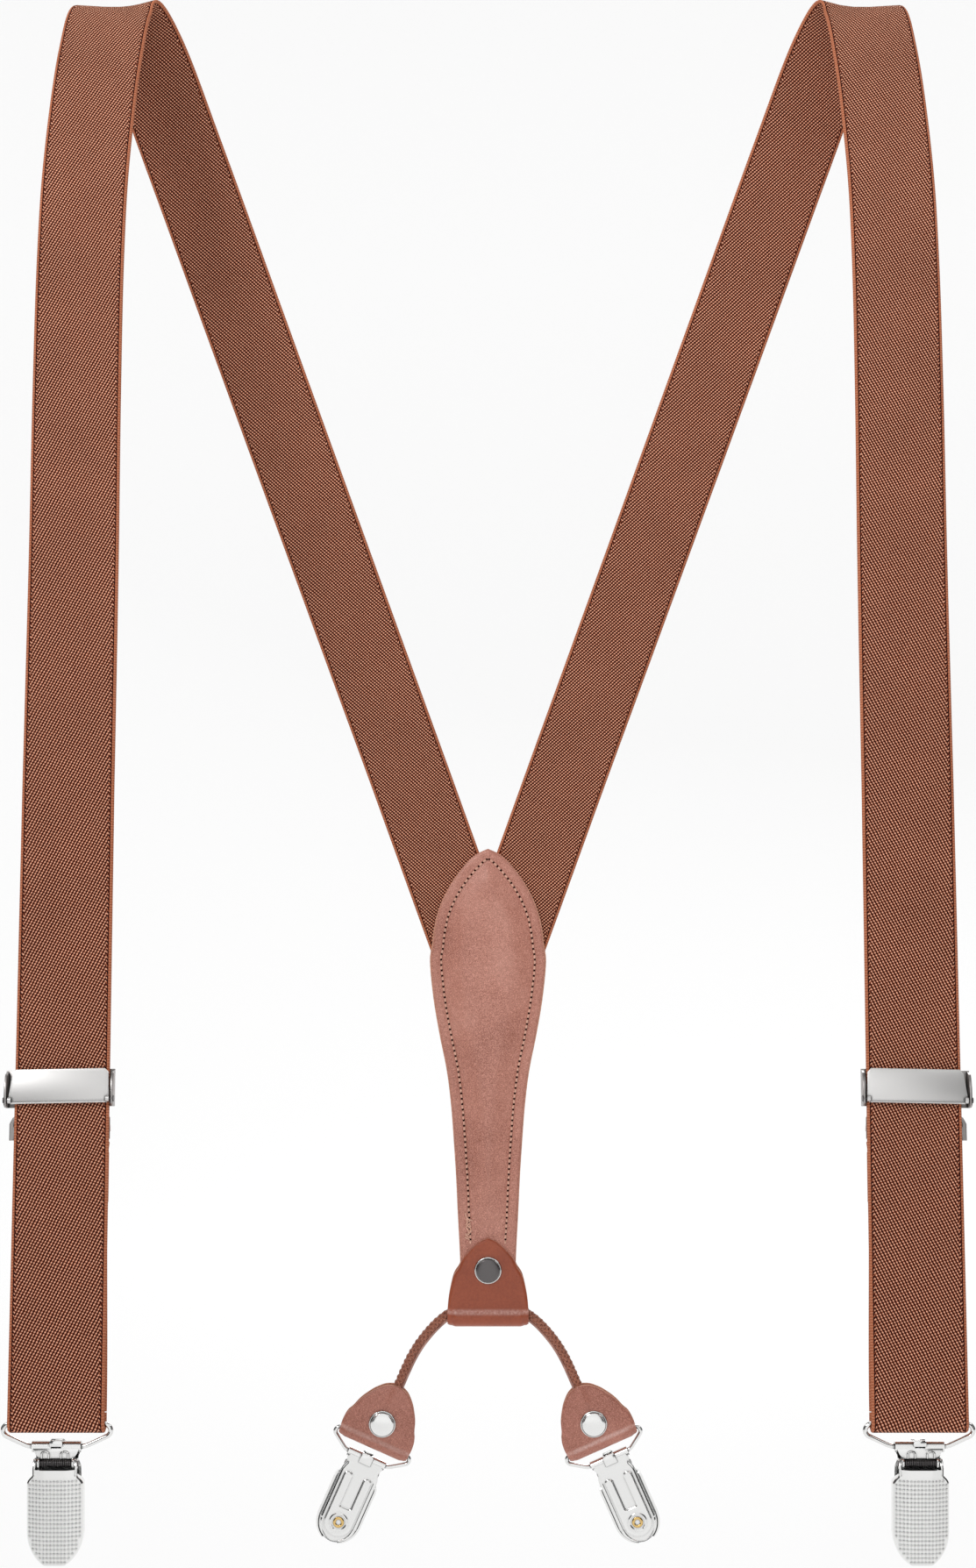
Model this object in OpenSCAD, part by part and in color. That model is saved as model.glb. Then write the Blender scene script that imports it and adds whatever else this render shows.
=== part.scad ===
// Clip-on suspenders with a Y back, hung as they are worn.
// Origin: midpoint between the undersides of the two shoulder arches. +Z up, -Y to the front, +X right.
// Straps and adjusters are made on the left and mirrored; what is symmetric in itself is placed by its side,
// which is -1 on the left and 1 on the right.

/* [Webbing] */
// Width of the elastic webbing
web_w = 30; // [29:0.1:30.4]
// Thickness of the webbing
web_t = 1.5; // [1.3:0.1:1.6]
// Height of the adjuster's rear bar above the front clip ring
adjuster_h = 89.1; // [80:0.1:110]

/* [Leather] */
// Thickness of the yoke and hanger leather
leather_t = 1.4; // [1.2:0.1:1.4]
// Thickness of the leather of the two back tabs
tab_leather_t = 1.3; // [1.1:0.1:1.4]
// Diameter of the braided cord
cord_d = 3.6; // [3:0.1:3.6]

/* [Rivets] */
// Diameter of the domed rivet caps
rivet_cap_d = 10.2; // [8:0.1:11]
// Height of the domed rivet caps
rivet_cap_h = 1.5; // [1:0.1:2]
// Diameter of the rivet posts
rivet_post_d = 3; // [2.4:0.1:3.2]

/* [Clips] */
// Width of the clip's lever plate
lever_w = 17.3; // [17.2:0.1:18]
// Thickness of the sheet metal
sheet_t = 0.8; // [0.7:0.05:0.8]
// Diameter of the ring wire
wire_d = 1.6; // [1.4:0.1:1.6]

/* [Hidden] */

$fn = 48;
web_colour = "#a4552f";
yoke_colour = "#9a5f48";
tab_colour = "#8c4a34";
cord_colour = "#8a5038";
steel_colour = "#dcdcdc";
dark_colour = "#4a4a4a";
brass_colour = "#c9a24a";
clear_colour = "#e4e8ea";

// Lower run of the strap: straight, leaning back, so that the adjuster can slide on it.
run_lean = 12;
run_turn = -1.1;
// Radius inside the fold that holds the ring's bar
fold_r = 1.2;
// Distance from the bar to the middle of each layer of webbing
layer_y = fold_r + web_t / 2;
// Middle of the front ring's bar
front_bar = [-132.8, -117.6, -475.1];
// Where the strap ends and its lower loop begins, above the bar
loop_top = 72;
// Where the rear layer changes from the loop to the tail, and the gap left there
tail_bottom = 3;
node_gap = 0.3;
// Length of the sewn end of the tail below the adjuster's bar, and the room round the bar in its eye
flap_len = 22;
eye_gap = 0.4;
// Length of the straight run, above the bar
run_top = 200;
run_dir = [cos(run_lean) * sin(run_turn), sin(run_lean), cos(run_lean) * cos(run_turn)];
run_front = [0, -cos(run_lean), sin(run_lean)];

// Middle line of the left strap above the straight run, up over the shoulder and down to the yoke
back_y = 45;
strap_points = [
    [-137.8, -61.8, -205],
    [-139.2, -48.4, -147],
    [-140, -36.6, -97],
    [-139.4, -27.5, -60],
    [-136.8, -14.8, -20],
    [-133.9, 0, web_t / 2],
    [-125.4, 14, -11],
    [-112.7, 26.7, -45.4],
    [-89.1, 31.4, -110.7],
    [-65.5, 36, -176],
    [-43.2, 41, -237.7],
    [-31.5, 43.8, -270],
    [-20.7, back_y, -300],
    [-10, back_y, -329.6],
    [1, back_y, -360]
];
// Where the webbing ends inside the yoke, and the gap between the two straps there
strap_end_z = -372;
strap_gap = 0.3;

// Yoke outline: distance below the tip, half width
yoke_tip_z = -302.6;
yoke_outline = [
    [0, 0], [2, 4.3], [5.2, 8], [12, 13.3], [20, 17.6], [28, 20.1], [36.6, 21.3], [43, 22],
    [57, 20.6], [70.5, 18.3], [84, 15.6], [97, 14], [110, 13], [124, 12.1], [137, 11.5],
    [150, 10.8], [162, 10.2], [166, 9], [168, 6.5]
];
layer_gap = 0.15;
yoke_front_y = back_y - web_t / 2 - layer_gap - leather_t;
yoke_back_y = back_y + web_t / 2 + layer_gap;
stiffener_w = 14;
stiffener_top_z = strap_end_z - 2;
stiffener_bottom_z = -466;

// Rivets: the washer behind each
washer_r = rivet_cap_d / 2 - 1;
washer_t = 1;

// Hanger: one strip folded under the cord
rivet_z = -461.7;
hanger_bottom_z = -483.2;
hanger_inner_r = web_t / 2 + leather_t + 2 * layer_gap;
hanger_outer_r = hanger_inner_r + leather_t;
hanger_outline = [
    [0, 15.3], [6.3, 15.3], [12.3, 14.6], [19, 13], [22.3, 11], [25.3, 9.7], [28.6, 7], [31.8, 3.6], [33.4, 0]
];

// Cord: half of its route, from the middle of the hanger out to the inside of the tab
cord_top_z = -474.9;
cord_half = [
    [0, 0], [4, -0.3], [8, -1.2], [12, -2.7], [15.5, -4.7], [19, -7.5], [22.5, -11.2], [26, -15.7],
    [29, -20.7], [31.6, -26.2], [33.2, -29.9], [36, -36.2]
];

// Back tabs: outline above the fold's bottom, half width
tab_tilt = 24;
tab_bar = [-43.2, back_y, -527.3];
tab_fold_r = 1.1;
tab_outer_r = tab_fold_r + tab_leather_t;
tab_outline = [
    [0, 13.8], [3, 14.1], [6, 14.2], [9, 13.8], [11.3, 12.7], [15.2, 11.3], [18.7, 9.3], [21.4, 7.3],
    [24.2, 4.2], [25.7, 0]
];
tab_rivet_h = 10.2 - tab_outer_r;

// Rings: half length of the bar, corner radius, slope of the sides
wire_r = wire_d / 2;
tube_end_x = 8.6;
front_ring = [14.6, 2, 24.7];
back_ring = [13.4, 1.75, 34];
function ring_drop(r) = r[1] * (1 + cos(r[2])) + (r[0] + r[1] * sin(r[2]) - tube_end_x) * tan(r[2]);

// Clip: its own frame has the rolled tube's axis at the origin, the lever towards -Y
tube_in_r = 0.95;
tube_out_r = tube_in_r + sheet_t;
tube_len = 15.1;
pin_r = 0.9;
pin_y = -1.6;
pin_z = -4.8;
lug_x = 5;
ear_x = 5.95;
lever_face_y = -5;
lever_top_z = -6;
lever_bottom_z = -35.1;
lever_round_z = -25.2;
lever_flat = 3.25;
strip_half = 3.65;
facet_drop = 1.4;
flange_y = -0.2;
eyelet_z = -25.8;
eyelet_r = 0.9;
eyelet_wall = 0.4;
eyelet_rim_r = 2.15;
eyelet_rim_t = 0.45;
pad_top_z = -14;
pad_bottom_z = -34.1;
pad_half = 6.5;
base_half = 7.2;
base_bottom_z = -33.6;
// Raised beads pressed into the base plate: height and width
bead_t = 0.3;
bead_w = 0.7;

// Adjuster, in the straight run's frame
adjuster_shift = -0.8;
cover_w = web_w + 2.1;
cover_h = 10.8;
cover_front_y = -layer_y - web_t / 2 - 1.8;
cover_pivot_y = cover_front_y + sheet_t / 2;
cover_bottom_z = adjuster_h + 8.7;
cover_pivot_z = cover_bottom_z + 1.2;
cover_pin_r = 0.6;
knuckle_r = 1.1;
knuckle_len = 0.95;
ear_in_x = cover_w / 2 + 0.35;
frame_plate_y = -layer_y + web_t / 2 + 0.3;
bar_h = 4.5;
bar_t = 1.2;
bar_y = layer_y + web_t / 2 + eye_gap;
// Buckle round the eye: its outer and inner sides, the room in it above the bar, and the width of its top bar
buckle_out_x = -web_w / 2 - 1.8;
buckle_in_x = web_w / 2 + 0.8;
buckle_room = 2.25;
buckle_top_w = 1.8;

// A point of a smooth curve through list p, at segment i, share t of the way
function curve_point(p, i, t) =
    let (a = p[max(i - 1, 0)], b = p[i], c = p[i + 1], d = p[min(i + 2, len(p) - 1)])
    0.5 * (2 * b + (c - a) * t + (2 * a - 5 * b + 4 * c - d) * t * t + (3 * b - a - 3 * c + d) * t * t * t);
// A smooth curve through list p with n steps for each segment
function curve(p, n) = concat(
    [for (i = [0 : len(p) - 2], k = [0 : n - 1]) curve_point(p, i, k / n)],
    [p[len(p) - 1]]);
function unit(v) = v / norm(v);
function tangent(p, i) = unit(p[min(i + 1, len(p) - 1)] - p[max(i - 1, 0)]);

// Faces of a tube of n rings with m corners each
function tube_faces(n, m) = concat(
    [[for (j = [0 : m - 1]) j]],
    [for (i = [0 : n - 2], j = [0 : m - 1]) [i * m + j, (i + 1) * m + (j + 1) % m, i * m + (j + 1) % m]],
    [for (i = [0 : n - 2], j = [0 : m - 1]) [i * m + j, (i + 1) * m + j, (i + 1) * m + (j + 1) % m]],
    [[for (j = [0 : m - 1]) (n - 1) * m + m - 1 - j]]);

// Flat webbing swept along path p, its width kept as near to level as the path allows
module ribbon(p, w, t) {
    points = [for (i = [0 : len(p) - 1])
        let (
            dir = tangent(p, i),
            side = unit([1, 0, 0] - dir[0] * dir),
            face = cross(dir, side)
        )
        for (c = [[-1, -1], [1, -1], [1, 1], [-1, 1]]) p[i] + c[0] * side * w / 2 + c[1] * face * t / 2];
    polyhedron(points, tube_faces(len(p), 4));
}

// Round cord swept along path p that lies in one XZ plane
module cord(p, r, sides) {
    points = [for (i = [0 : len(p) - 1])
        let (dir = tangent(p, i), up = cross(dir, [0, 1, 0]))
        for (k = [0 : sides - 1])
            p[i] + r * (cos(360 * k / sides) * [0, 1, 0] + sin(360 * k / sides) * up)];
    polyhedron(points, tube_faces(len(p), sides));
}

// A symmetric outline in 2D from [height, half width] pairs
module outline(p, step, direction) {
    half = curve(p, step);
    polygon(concat(
        [for (q = half) [q[1], direction * q[0]]],
        [for (i = [len(half) - 1 : -1 : 0]) [-half[i][1], direction * half[i][0]]]));
}

// Stands a 2D outline in the XZ plane, from y0 to y1
module slab(y0, y1) {
    translate([0, y1, 0]) rotate([90, 0, 0]) linear_extrude(y1 - y0) children();
}

// Extrudes a 2D outline in the YZ plane along X, centred on x = 0
module along_x(len) {
    rotate([90, 0, 90]) linear_extrude(len, center = true) children();
}

module rod_x(r, x0, x1) {
    translate([x0, 0, 0]) rotate([0, 90, 0]) cylinder(r = r, h = x1 - x0);
}

module rod_y(r, y0, y1) {
    translate([0, y1, 0]) rotate([90, 0, 0]) cylinder(r = r, h = y1 - y0);
}

module on_run() {
    translate(front_bar) rotate([-run_lean, run_turn, 0]) children();
}

// ---------- Webbing ----------

module strap() {
    lower = [for (h = [loop_top + node_gap, 110, 150, run_top]) front_bar + run_dir * h + run_front * layer_y];
    path = concat(lower, curve(concat([lower[3]], strap_points), 4));
    clean = [for (i = [0 : len(path) - 1]) if (i == 0 || norm(path[i] - path[i - 1]) > 0.01) path[i]];
    color(web_colour) difference() {
        ribbon(clean, web_w, web_t);
        translate([-strap_gap / 2, -50, -500]) cube([100, 150, 260]);
        translate([-100, back_y - 20, strap_end_z - 50]) cube([200, 40, 50]);
    }
}

module strap_loop() {
    color(web_colour) on_run() {
        translate([-web_w / 2, -layer_y - web_t / 2, 0]) cube([web_w, web_t, loop_top]);
        intersection() {
            difference() {
                rod_x(fold_r + web_t, -web_w / 2, web_w / 2);
                rod_x(fold_r, -web_w, web_w);
            }
            translate([-web_w, -10, -10]) cube([2 * web_w, 20, 10]);
        }
        translate([-web_w / 2, fold_r, 0]) cube([web_w, web_t, tail_bottom]);
    }
}

// The eye sewn round the adjuster's rear bar, as a closed loop in the YZ plane
module eye_shape(inset) {
    wall = eye_gap + web_t - inset;
    translate([bar_y - wall, adjuster_h - bar_h / 2 - wall]) square([bar_t + 2 * wall, bar_h + 2 * wall]);
}

module strap_tail() {
    color(web_colour) on_run() translate([adjuster_shift, 0, 0]) along_x(web_w) {
        translate([fold_r, tail_bottom + node_gap]) square([web_t, adjuster_h - tail_bottom - node_gap]);
        translate([fold_r + web_t, adjuster_h - flap_len]) square([web_t, flap_len - bar_h / 2 - 1]);
        difference() {
            eye_shape(0);
            eye_shape(web_t);
        }
    }
}

// ---------- Adjuster ----------

module on_adjuster() {
    on_run() translate([adjuster_shift, 0, 0]) children();
}

// Flat buckle whose lower bar carries the eye
buckle_top = adjuster_h + bar_h / 2 + buckle_room + buckle_top_w;
module buckle() {
    bar_top = adjuster_h + bar_h / 2;
    bar_bottom = adjuster_h - bar_h / 2;
    difference() {
        polygon([
            [buckle_out_x, bar_bottom], [buckle_out_x, bar_top + 0.7], [buckle_out_x + 1, buckle_top - 1.4],
            [buckle_out_x + 3.4, buckle_top], [buckle_in_x - 2, buckle_top], [buckle_in_x, buckle_top - 1.4],
            [buckle_in_x, bar_bottom]
        ]);
        translate([-web_w / 2 - 0.3, bar_top]) square([web_w + 0.4, buckle_room]);
    }
}

module adjuster_frame() {
    plate_z = cover_bottom_z - 1;
    plate_h = cover_h + 1;
    ear_front = cover_front_y - 0.3;
    strut_x = 11;
    strut_w = 2.4;
    color(steel_colour) on_adjuster() difference() {
        union() {
            translate([-ear_in_x - sheet_t, frame_plate_y, plate_z])
                cube([2 * (ear_in_x + sheet_t), sheet_t, plate_h]);
            for (s = [-1, 1]) {
                translate([s * (ear_in_x + sheet_t / 2), 0, 0]) along_x(sheet_t) polygon([
                    [frame_plate_y + sheet_t, plate_z],
                    [cover_pivot_y, plate_z],
                    [ear_front, plate_z + 1],
                    [ear_front, plate_z + 5],
                    [ear_front + 1.2, plate_z + 9],
                    [frame_plate_y + sheet_t, plate_z + plate_h]
                ]);
                translate([s * strut_x, 0, 0]) along_x(strut_w) polygon([
                    [frame_plate_y, plate_z + 1],
                    [frame_plate_y + sheet_t, plate_z + 1],
                    [bar_y + bar_t, buckle_top],
                    [bar_y + bar_t, buckle_top - buckle_top_w],
                    [bar_y, buckle_top - buckle_top_w],
                    [frame_plate_y, plate_z - 0.5]
                ]);
            }
            slab(bar_y, bar_y + bar_t) buckle();
        }
        translate([0, cover_pivot_y, cover_pivot_z]) rod_x(cover_pin_r, -30, 30);
    }
}

module adjuster_pins() {
    pin_in = cover_w / 2 - knuckle_len;
    head_t = 0.3;
    color(dark_colour) on_adjuster() translate([0, cover_pivot_y, cover_pivot_z]) for (s = [-1, 1]) {
        translate([s * (pin_in + ear_in_x + sheet_t) / 2, 0, 0])
            rod_x(cover_pin_r, -(ear_in_x + sheet_t - pin_in) / 2, (ear_in_x + sheet_t - pin_in) / 2);
        translate([s * (ear_in_x + sheet_t + head_t / 2), 0, 0])
            rod_x(cover_pin_r + head_t, -head_t / 2, head_t / 2);
    }
}

module adjuster_cover() {
    chamfer = 1.3;
    low_chamfer = 0.9;
    color(steel_colour) on_adjuster() difference() {
        union() {
            slab(cover_front_y, cover_front_y + sheet_t) translate([-cover_w / 2, cover_bottom_z]) polygon([
                [0, low_chamfer], [low_chamfer, 0],
                [cover_w - low_chamfer, 0], [cover_w, low_chamfer],
                [cover_w, cover_h - chamfer], [cover_w - chamfer, cover_h],
                [chamfer, cover_h], [0, cover_h - chamfer]
            ]);
            for (s = [-1, 1])
                translate([s * (cover_w - knuckle_len) / 2, cover_pivot_y, cover_pivot_z])
                    rod_x(knuckle_r, -knuckle_len / 2, knuckle_len / 2);
        }
        translate([0, cover_pivot_y, cover_pivot_z]) for (s = [-1, 1])
            translate([s * cover_w / 2, 0, 0]) rod_x(cover_pin_r + 0.05, -1.1, 1.1);
    }
}

// ---------- Yoke ----------

module yoke_leather(y0) {
    color(yoke_colour) difference() {
        slab(y0, y0 + leather_t) translate([0, yoke_tip_z]) outline(yoke_outline, 3, -1);
        translate([0, 0, rivet_z]) rod_y(rivet_post_d / 2, 0, 100);
    }
}

module yoke_front_leather() {
    yoke_leather(yoke_front_y);
}

module yoke_back_leather() {
    yoke_leather(yoke_back_y);
}

module yoke_stiffener() {
    color(yoke_colour) difference() {
        translate([-stiffener_w / 2, back_y - web_t / 2, stiffener_bottom_z])
            cube([stiffener_w, web_t, stiffener_top_z - stiffener_bottom_z]);
        translate([0, 0, rivet_z]) rod_y(rivet_post_d / 2, 0, 100);
    }
}

// Domed cap whose flat face is at y = 0 and which bulges towards -Y
module rivet_cap() {
    r = rivet_cap_d / 2;
    dome_r = (r * r + rivet_cap_h * rivet_cap_h) / (2 * rivet_cap_h);
    rotate([90, 0, 0]) intersection() {
        cylinder(r = r, h = rivet_cap_h);
        translate([0, 0, rivet_cap_h - dome_r]) sphere(r = dome_r, $fn = 96);
    }
}

module yoke_rivet_cap() {
    color(dark_colour) translate([0, back_y - hanger_outer_r - 0.05, rivet_z]) rivet_cap();
}

module yoke_rivet_post() {
    color(dark_colour) translate([0, back_y, rivet_z]) {
        rod_y(rivet_post_d / 2, -hanger_outer_r - 0.05, hanger_outer_r + 0.05);
        rod_y(washer_r, hanger_outer_r + 0.05, hanger_outer_r + 0.05 + washer_t);
    }
}

// ---------- Hanger and cord ----------

// Folded strip in the YZ plane: two straight flaps joined by a half round, z = 0 at its outer bottom
module folded_strip(inner_r, t, h) {
    translate([0, inner_r + t]) {
        difference() {
            circle(r = inner_r + t);
            circle(r = inner_r);
            translate([-20, 0]) square([40, 40]);
        }
        for (s = [-1, 1]) translate([s > 0 ? inner_r : -inner_r - t, 0]) square([t, h - inner_r - t]);
    }
}

module hanger_loop() {
    color(tab_colour) difference() {
        intersection() {
            translate([0, back_y, hanger_bottom_z]) along_x(40) folded_strip(hanger_inner_r, leather_t, 36);
            slab(0, 100) translate([0, hanger_bottom_z]) outline(hanger_outline, 3, 1);
        }
        translate([0, 0, rivet_z]) rod_y(rivet_post_d / 2 + 0.05, 0, 100);
    }
}

module braided_cord() {
    half = curve(cord_half, 2);
    points = concat(
        [for (i = [len(half) - 1 : -1 : 1]) [-half[i][0], back_y, cord_top_z + half[i][1]]],
        [for (q = half) [q[0], back_y, cord_top_z + q[1]]]);
    color(cord_colour) cord(points, cord_d / 2, 8);
}

module on_tab(side) {
    translate([-side * tab_bar[0], tab_bar[1], tab_bar[2]]) rotate([0, -side * tab_tilt, 0]) children();
}

module tab(side) {
    color(tab_colour) on_tab(side) difference() {
        intersection() {
            translate([0, 0, -tab_outer_r]) along_x(40) folded_strip(tab_fold_r, tab_leather_t, 30);
            slab(-10, 10) translate([0, -tab_outer_r]) outline(tab_outline, 3, 1);
        }
        translate([0, 0, tab_rivet_h]) rod_y(rivet_post_d / 2, -10, 10);
        translate([0, 0, 15]) cylinder(r = cord_d / 2 + 0.1, h = 20);
    }
}

module tab_rivet_cap(side) {
    color(steel_colour) on_tab(side) translate([0, -tab_outer_r, tab_rivet_h]) rivet_cap();
}

module tab_rivet_post(side) {
    color(steel_colour) on_tab(side) translate([0, 0, tab_rivet_h]) {
        rod_y(rivet_post_d / 2, -tab_outer_r, tab_outer_r);
        rod_y(washer_r, tab_outer_r, tab_outer_r + washer_t);
    }
}

// ---------- Rings ----------

// Bent wire with its bar on the X axis; shape is [half bar, corner radius, slope of the sides].
// Each corner is that many turns, between short lengths of wire joined by balls that stand a little proud.
module ring(shape, turns) {
    bar = shape[0];
    bend = shape[1];
    slope = shape[2];
    drop = ring_drop(shape);
    half = concat(
        [[0, 0]],
        [for (k = [0 : turns]) let (a = 90 - (180 - slope) * k / turns) [bar + bend * cos(a), bend * sin(a) - bend]],
        [[tube_end_x, -drop], [0.5, -drop]]);
    color(steel_colour) {
        rod_x(wire_r, -bar, bar);
        for (s = [-1, 1], i = [1 : len(half) - 2]) {
            span = half[i + 1] - half[i];
            translate([s * half[i][0], 0, half[i][1]]) {
                sphere(r = wire_r + 0.02, $fn = 24);
                rotate([0, s * atan2(span[0], span[1]), 0]) cylinder(r = wire_r, h = norm(span));
            }
        }
    }
}

module on_front_bar(side) {
    translate([-side * front_bar[0], front_bar[1], front_bar[2]]) children();
}

// ---------- Clips ----------

// Frame of a clip that hangs from a ring whose bar is at the origin; back clips face away
module on_front_clip(side) {
    on_front_bar(side) translate([0, 0, -ring_drop(front_ring)]) children();
}

module on_back_clip(side) {
    on_tab(side) translate([0, 0, -ring_drop(back_ring)]) rotate([0, 0, 180]) children();
}

// Lever outline in the XZ plane, drawn in by inset all round
module lever_outline(inset) {
    half = lever_w / 2 - inset;
    neck = ear_x + sheet_t - inset;
    depth = (lever_round_z - lever_bottom_z - inset) / sin(acos(lever_flat / (lever_w / 2)));
    end_angle = acos(lever_flat / (lever_w / 2));
    side = concat(
        [[neck, lever_top_z - inset], [neck, lever_top_z - 2.1], [half, lever_top_z - 4.6]],
        [for (k = [0 : 8]) [
            half * cos(end_angle * k / 8),
            lever_round_z - depth * sin(end_angle * k / 8)
        ]]);
    polygon(concat(side, [for (i = [len(side) - 1 : -1 : 0]) [-side[i][0], side[i][1]]]));
}

// Cross-section of the lever's channel in the XY plane, drawn in by inset on the front and sides
module channel_shape(inset, back_y0) {
    half = lever_w / 2 - inset;
    face = lever_face_y + inset;
    polygon([
        [-half, back_y0], [-half, face + facet_drop], [-strip_half, face],
        [strip_half, face], [half, face + facet_drop], [half, back_y0]
    ]);
}

module lever_plate() {
    pin_gap = 0.05;
    color(steel_colour) difference() {
        union() {
            difference() {
                intersection() {
                    translate([0, 0, -40]) linear_extrude(40) channel_shape(0, flange_y);
                    slab(-10, 10) lever_outline(0);
                }
                intersection() {
                    translate([0, 0, -41]) linear_extrude(42) channel_shape(sheet_t, 5);
                    slab(-11, 11) {
                        lever_outline(sheet_t);
                        translate([-ear_x, lever_top_z - 2]) square([2 * ear_x, 3]);
                    }
                }
            }
            for (s = [-1, 1]) translate([s * (ear_x + sheet_t / 2), 0, 0]) along_x(sheet_t) {
                translate([pin_y, pin_z]) circle(r = 1.7);
                polygon([[pin_y, pin_z + 1.7], [pin_y, pin_z - 3], [-4, pin_z - 3], [-4, lever_top_z]]);
            }
        }
        translate([0, pin_y, pin_z]) rod_x(pin_r + pin_gap, -20, 20);
    }
}

module lever_pad() {
    inset = sheet_t + 0.05;
    pad_back_y = -1.2;
    color(clear_colour) intersection() {
        translate([0, 0, -40]) linear_extrude(40) difference() {
            channel_shape(inset, pad_back_y);
            for (s = [-1, 1]) translate([s * (pad_half + 5), -3]) square([10, 10], center = true);
        }
        slab(-10, 10) intersection() {
            lever_outline(inset);
            translate([-10, -45]) square([20, 45 + pad_top_z]);
        }
    }
}

// Base plate outline: straight sides, a slight waist under the tube, a round end
module base_outline() {
    round_z = base_bottom_z + base_half;
    waist = [tube_len / 2 - 1.4, -4.5];
    side = [[tube_len / 2, 0], waist, [base_half, 2 * waist[1]], [base_half, round_z]];
    translate([0, round_z]) circle(r = base_half);
    polygon(concat(side, [for (i = [3 : -1 : 0]) [-side[i][0], side[i][1]]]));
}

// A U-shaped bead round the plate's middle and a ring round its eyelet
module beads() {
    bead_half = 3.3;
    bead_top = -7;
    bead_bottom = -20.6;
    difference() {
        translate([-bead_half, bead_bottom]) square([2 * bead_half, bead_top - bead_bottom]);
        translate([bead_w - bead_half, bead_bottom + bead_w])
            square([2 * (bead_half - bead_w), bead_top - bead_bottom]);
    }
    translate([0, eyelet_z]) difference() {
        circle(r = bead_half);
        circle(r = bead_half - bead_w);
    }
}

module base_plate() {
    notch_half = 1.6;
    tongue_half = 1.2;
    color(steel_colour) difference() {
        union() {
            difference() {
                rod_x(tube_out_r, -tube_len / 2, tube_len / 2);
                translate([-notch_half, -5, -0.6]) cube([2 * notch_half, 5.6, 5]);
            }
            translate([-tongue_half, -0.4, tube_in_r + 0.3]) cube([2 * tongue_half, 1.6, 1.2]);
            slab(tube_in_r, tube_out_r) base_outline();
            for (s = [-1, 1]) translate([s * (lug_x + sheet_t / 2), 0, 0]) along_x(sheet_t) polygon([
                [tube_in_r + 0.1, pin_z + 2.4], [tube_in_r + 0.1, pin_z - 2.4],
                [pin_y - 1.3, pin_z - 1.6], [pin_y - 1.3, pin_z + 1.6]
            ]);
            slab(tube_out_r, tube_out_r + bead_t) beads();
        }
        rod_x(tube_in_r, -tube_len, tube_len);
        translate([0, 0, eyelet_z]) rod_y(eyelet_r + eyelet_wall, -5, 5);
        translate([0, pin_y, pin_z]) rod_x(pin_r, -20, 20);
    }
}

module base_pad() {
    color(clear_colour) difference() {
        slab(-0.9, tube_in_r) intersection() {
            translate([0, pad_bottom_z + pad_half]) union() {
                circle(r = pad_half);
                translate([-pad_half, 0]) square([2 * pad_half, 30]);
            }
            translate([-10, -45]) square([20, 45 + pad_top_z]);
        }
        translate([0, 0, eyelet_z]) rod_y(eyelet_r + eyelet_wall, -5, 5);
    }
}

module eyelet() {
    color(brass_colour) translate([0, 0, eyelet_z]) difference() {
        union() {
            rod_y(eyelet_r + eyelet_wall, -0.6, tube_out_r);
            rod_y(eyelet_rim_r, tube_out_r, tube_out_r + eyelet_rim_t);
        }
        rod_y(eyelet_r, -5, 5);
    }
}

module pivot_pin() {
    color(dark_colour) translate([0, pin_y, pin_z]) rod_x(pin_r, -ear_x - sheet_t - 0.2, ear_x + sheet_t + 0.2);
}

module right() {
    mirror([1, 0, 0]) children();
}

strap();  // left_strap
right() strap();  // right_strap
strap_loop();  // left_strap_loop
right() strap_loop();  // right_strap_loop
strap_tail();  // left_strap_tail
right() strap_tail();  // right_strap_tail
adjuster_frame();  // left_adjuster_frame
right() adjuster_frame();  // right_adjuster_frame
adjuster_pins();  // left_adjuster_pins
right() adjuster_pins();  // right_adjuster_pins
adjuster_cover();  // left_adjuster_cover
right() adjuster_cover();  // right_adjuster_cover
yoke_front_leather();
yoke_back_leather();
yoke_stiffener();
yoke_rivet_cap();
yoke_rivet_post();
hanger_loop();
braided_cord();
tab(-1);  // left_tab
tab(1);  // right_tab
tab_rivet_cap(-1);  // left_tab_rivet_cap
tab_rivet_cap(1);  // right_tab_rivet_cap
tab_rivet_post(-1);  // left_tab_rivet_post
tab_rivet_post(1);  // right_tab_rivet_post
on_front_bar(-1) ring(front_ring, 5);  // front_left_ring
on_front_bar(1) ring(front_ring, 5);  // front_right_ring
on_tab(-1) ring(back_ring, 4);  // back_left_ring
on_tab(1) ring(back_ring, 4);  // back_right_ring
on_front_clip(-1) base_plate();  // front_left_base_plate
on_front_clip(1) base_plate();  // front_right_base_plate
on_back_clip(-1) base_plate();  // back_left_base_plate
on_back_clip(1) base_plate();  // back_right_base_plate
on_front_clip(-1) base_pad();  // front_left_base_pad
on_front_clip(1) base_pad();  // front_right_base_pad
on_back_clip(-1) base_pad();  // back_left_base_pad
on_back_clip(1) base_pad();  // back_right_base_pad
on_front_clip(-1) eyelet();  // front_left_eyelet
on_front_clip(1) eyelet();  // front_right_eyelet
on_back_clip(-1) eyelet();  // back_left_eyelet
on_back_clip(1) eyelet();  // back_right_eyelet
on_front_clip(-1) pivot_pin();  // front_left_pivot_pin
on_front_clip(1) pivot_pin();  // front_right_pivot_pin
on_back_clip(-1) pivot_pin();  // back_left_pivot_pin
on_back_clip(1) pivot_pin();  // back_right_pivot_pin
on_front_clip(-1) lever_plate();  // front_left_lever_plate
on_front_clip(1) lever_plate();  // front_right_lever_plate
on_back_clip(-1) lever_plate();  // back_left_lever_plate
on_back_clip(1) lever_plate();  // back_right_lever_plate
on_front_clip(-1) lever_pad();  // front_left_lever_pad
on_front_clip(1) lever_pad();  // front_right_lever_pad
on_back_clip(-1) lever_pad();  // back_left_lever_pad
on_back_clip(1) lever_pad();  // back_right_lever_pad
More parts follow.
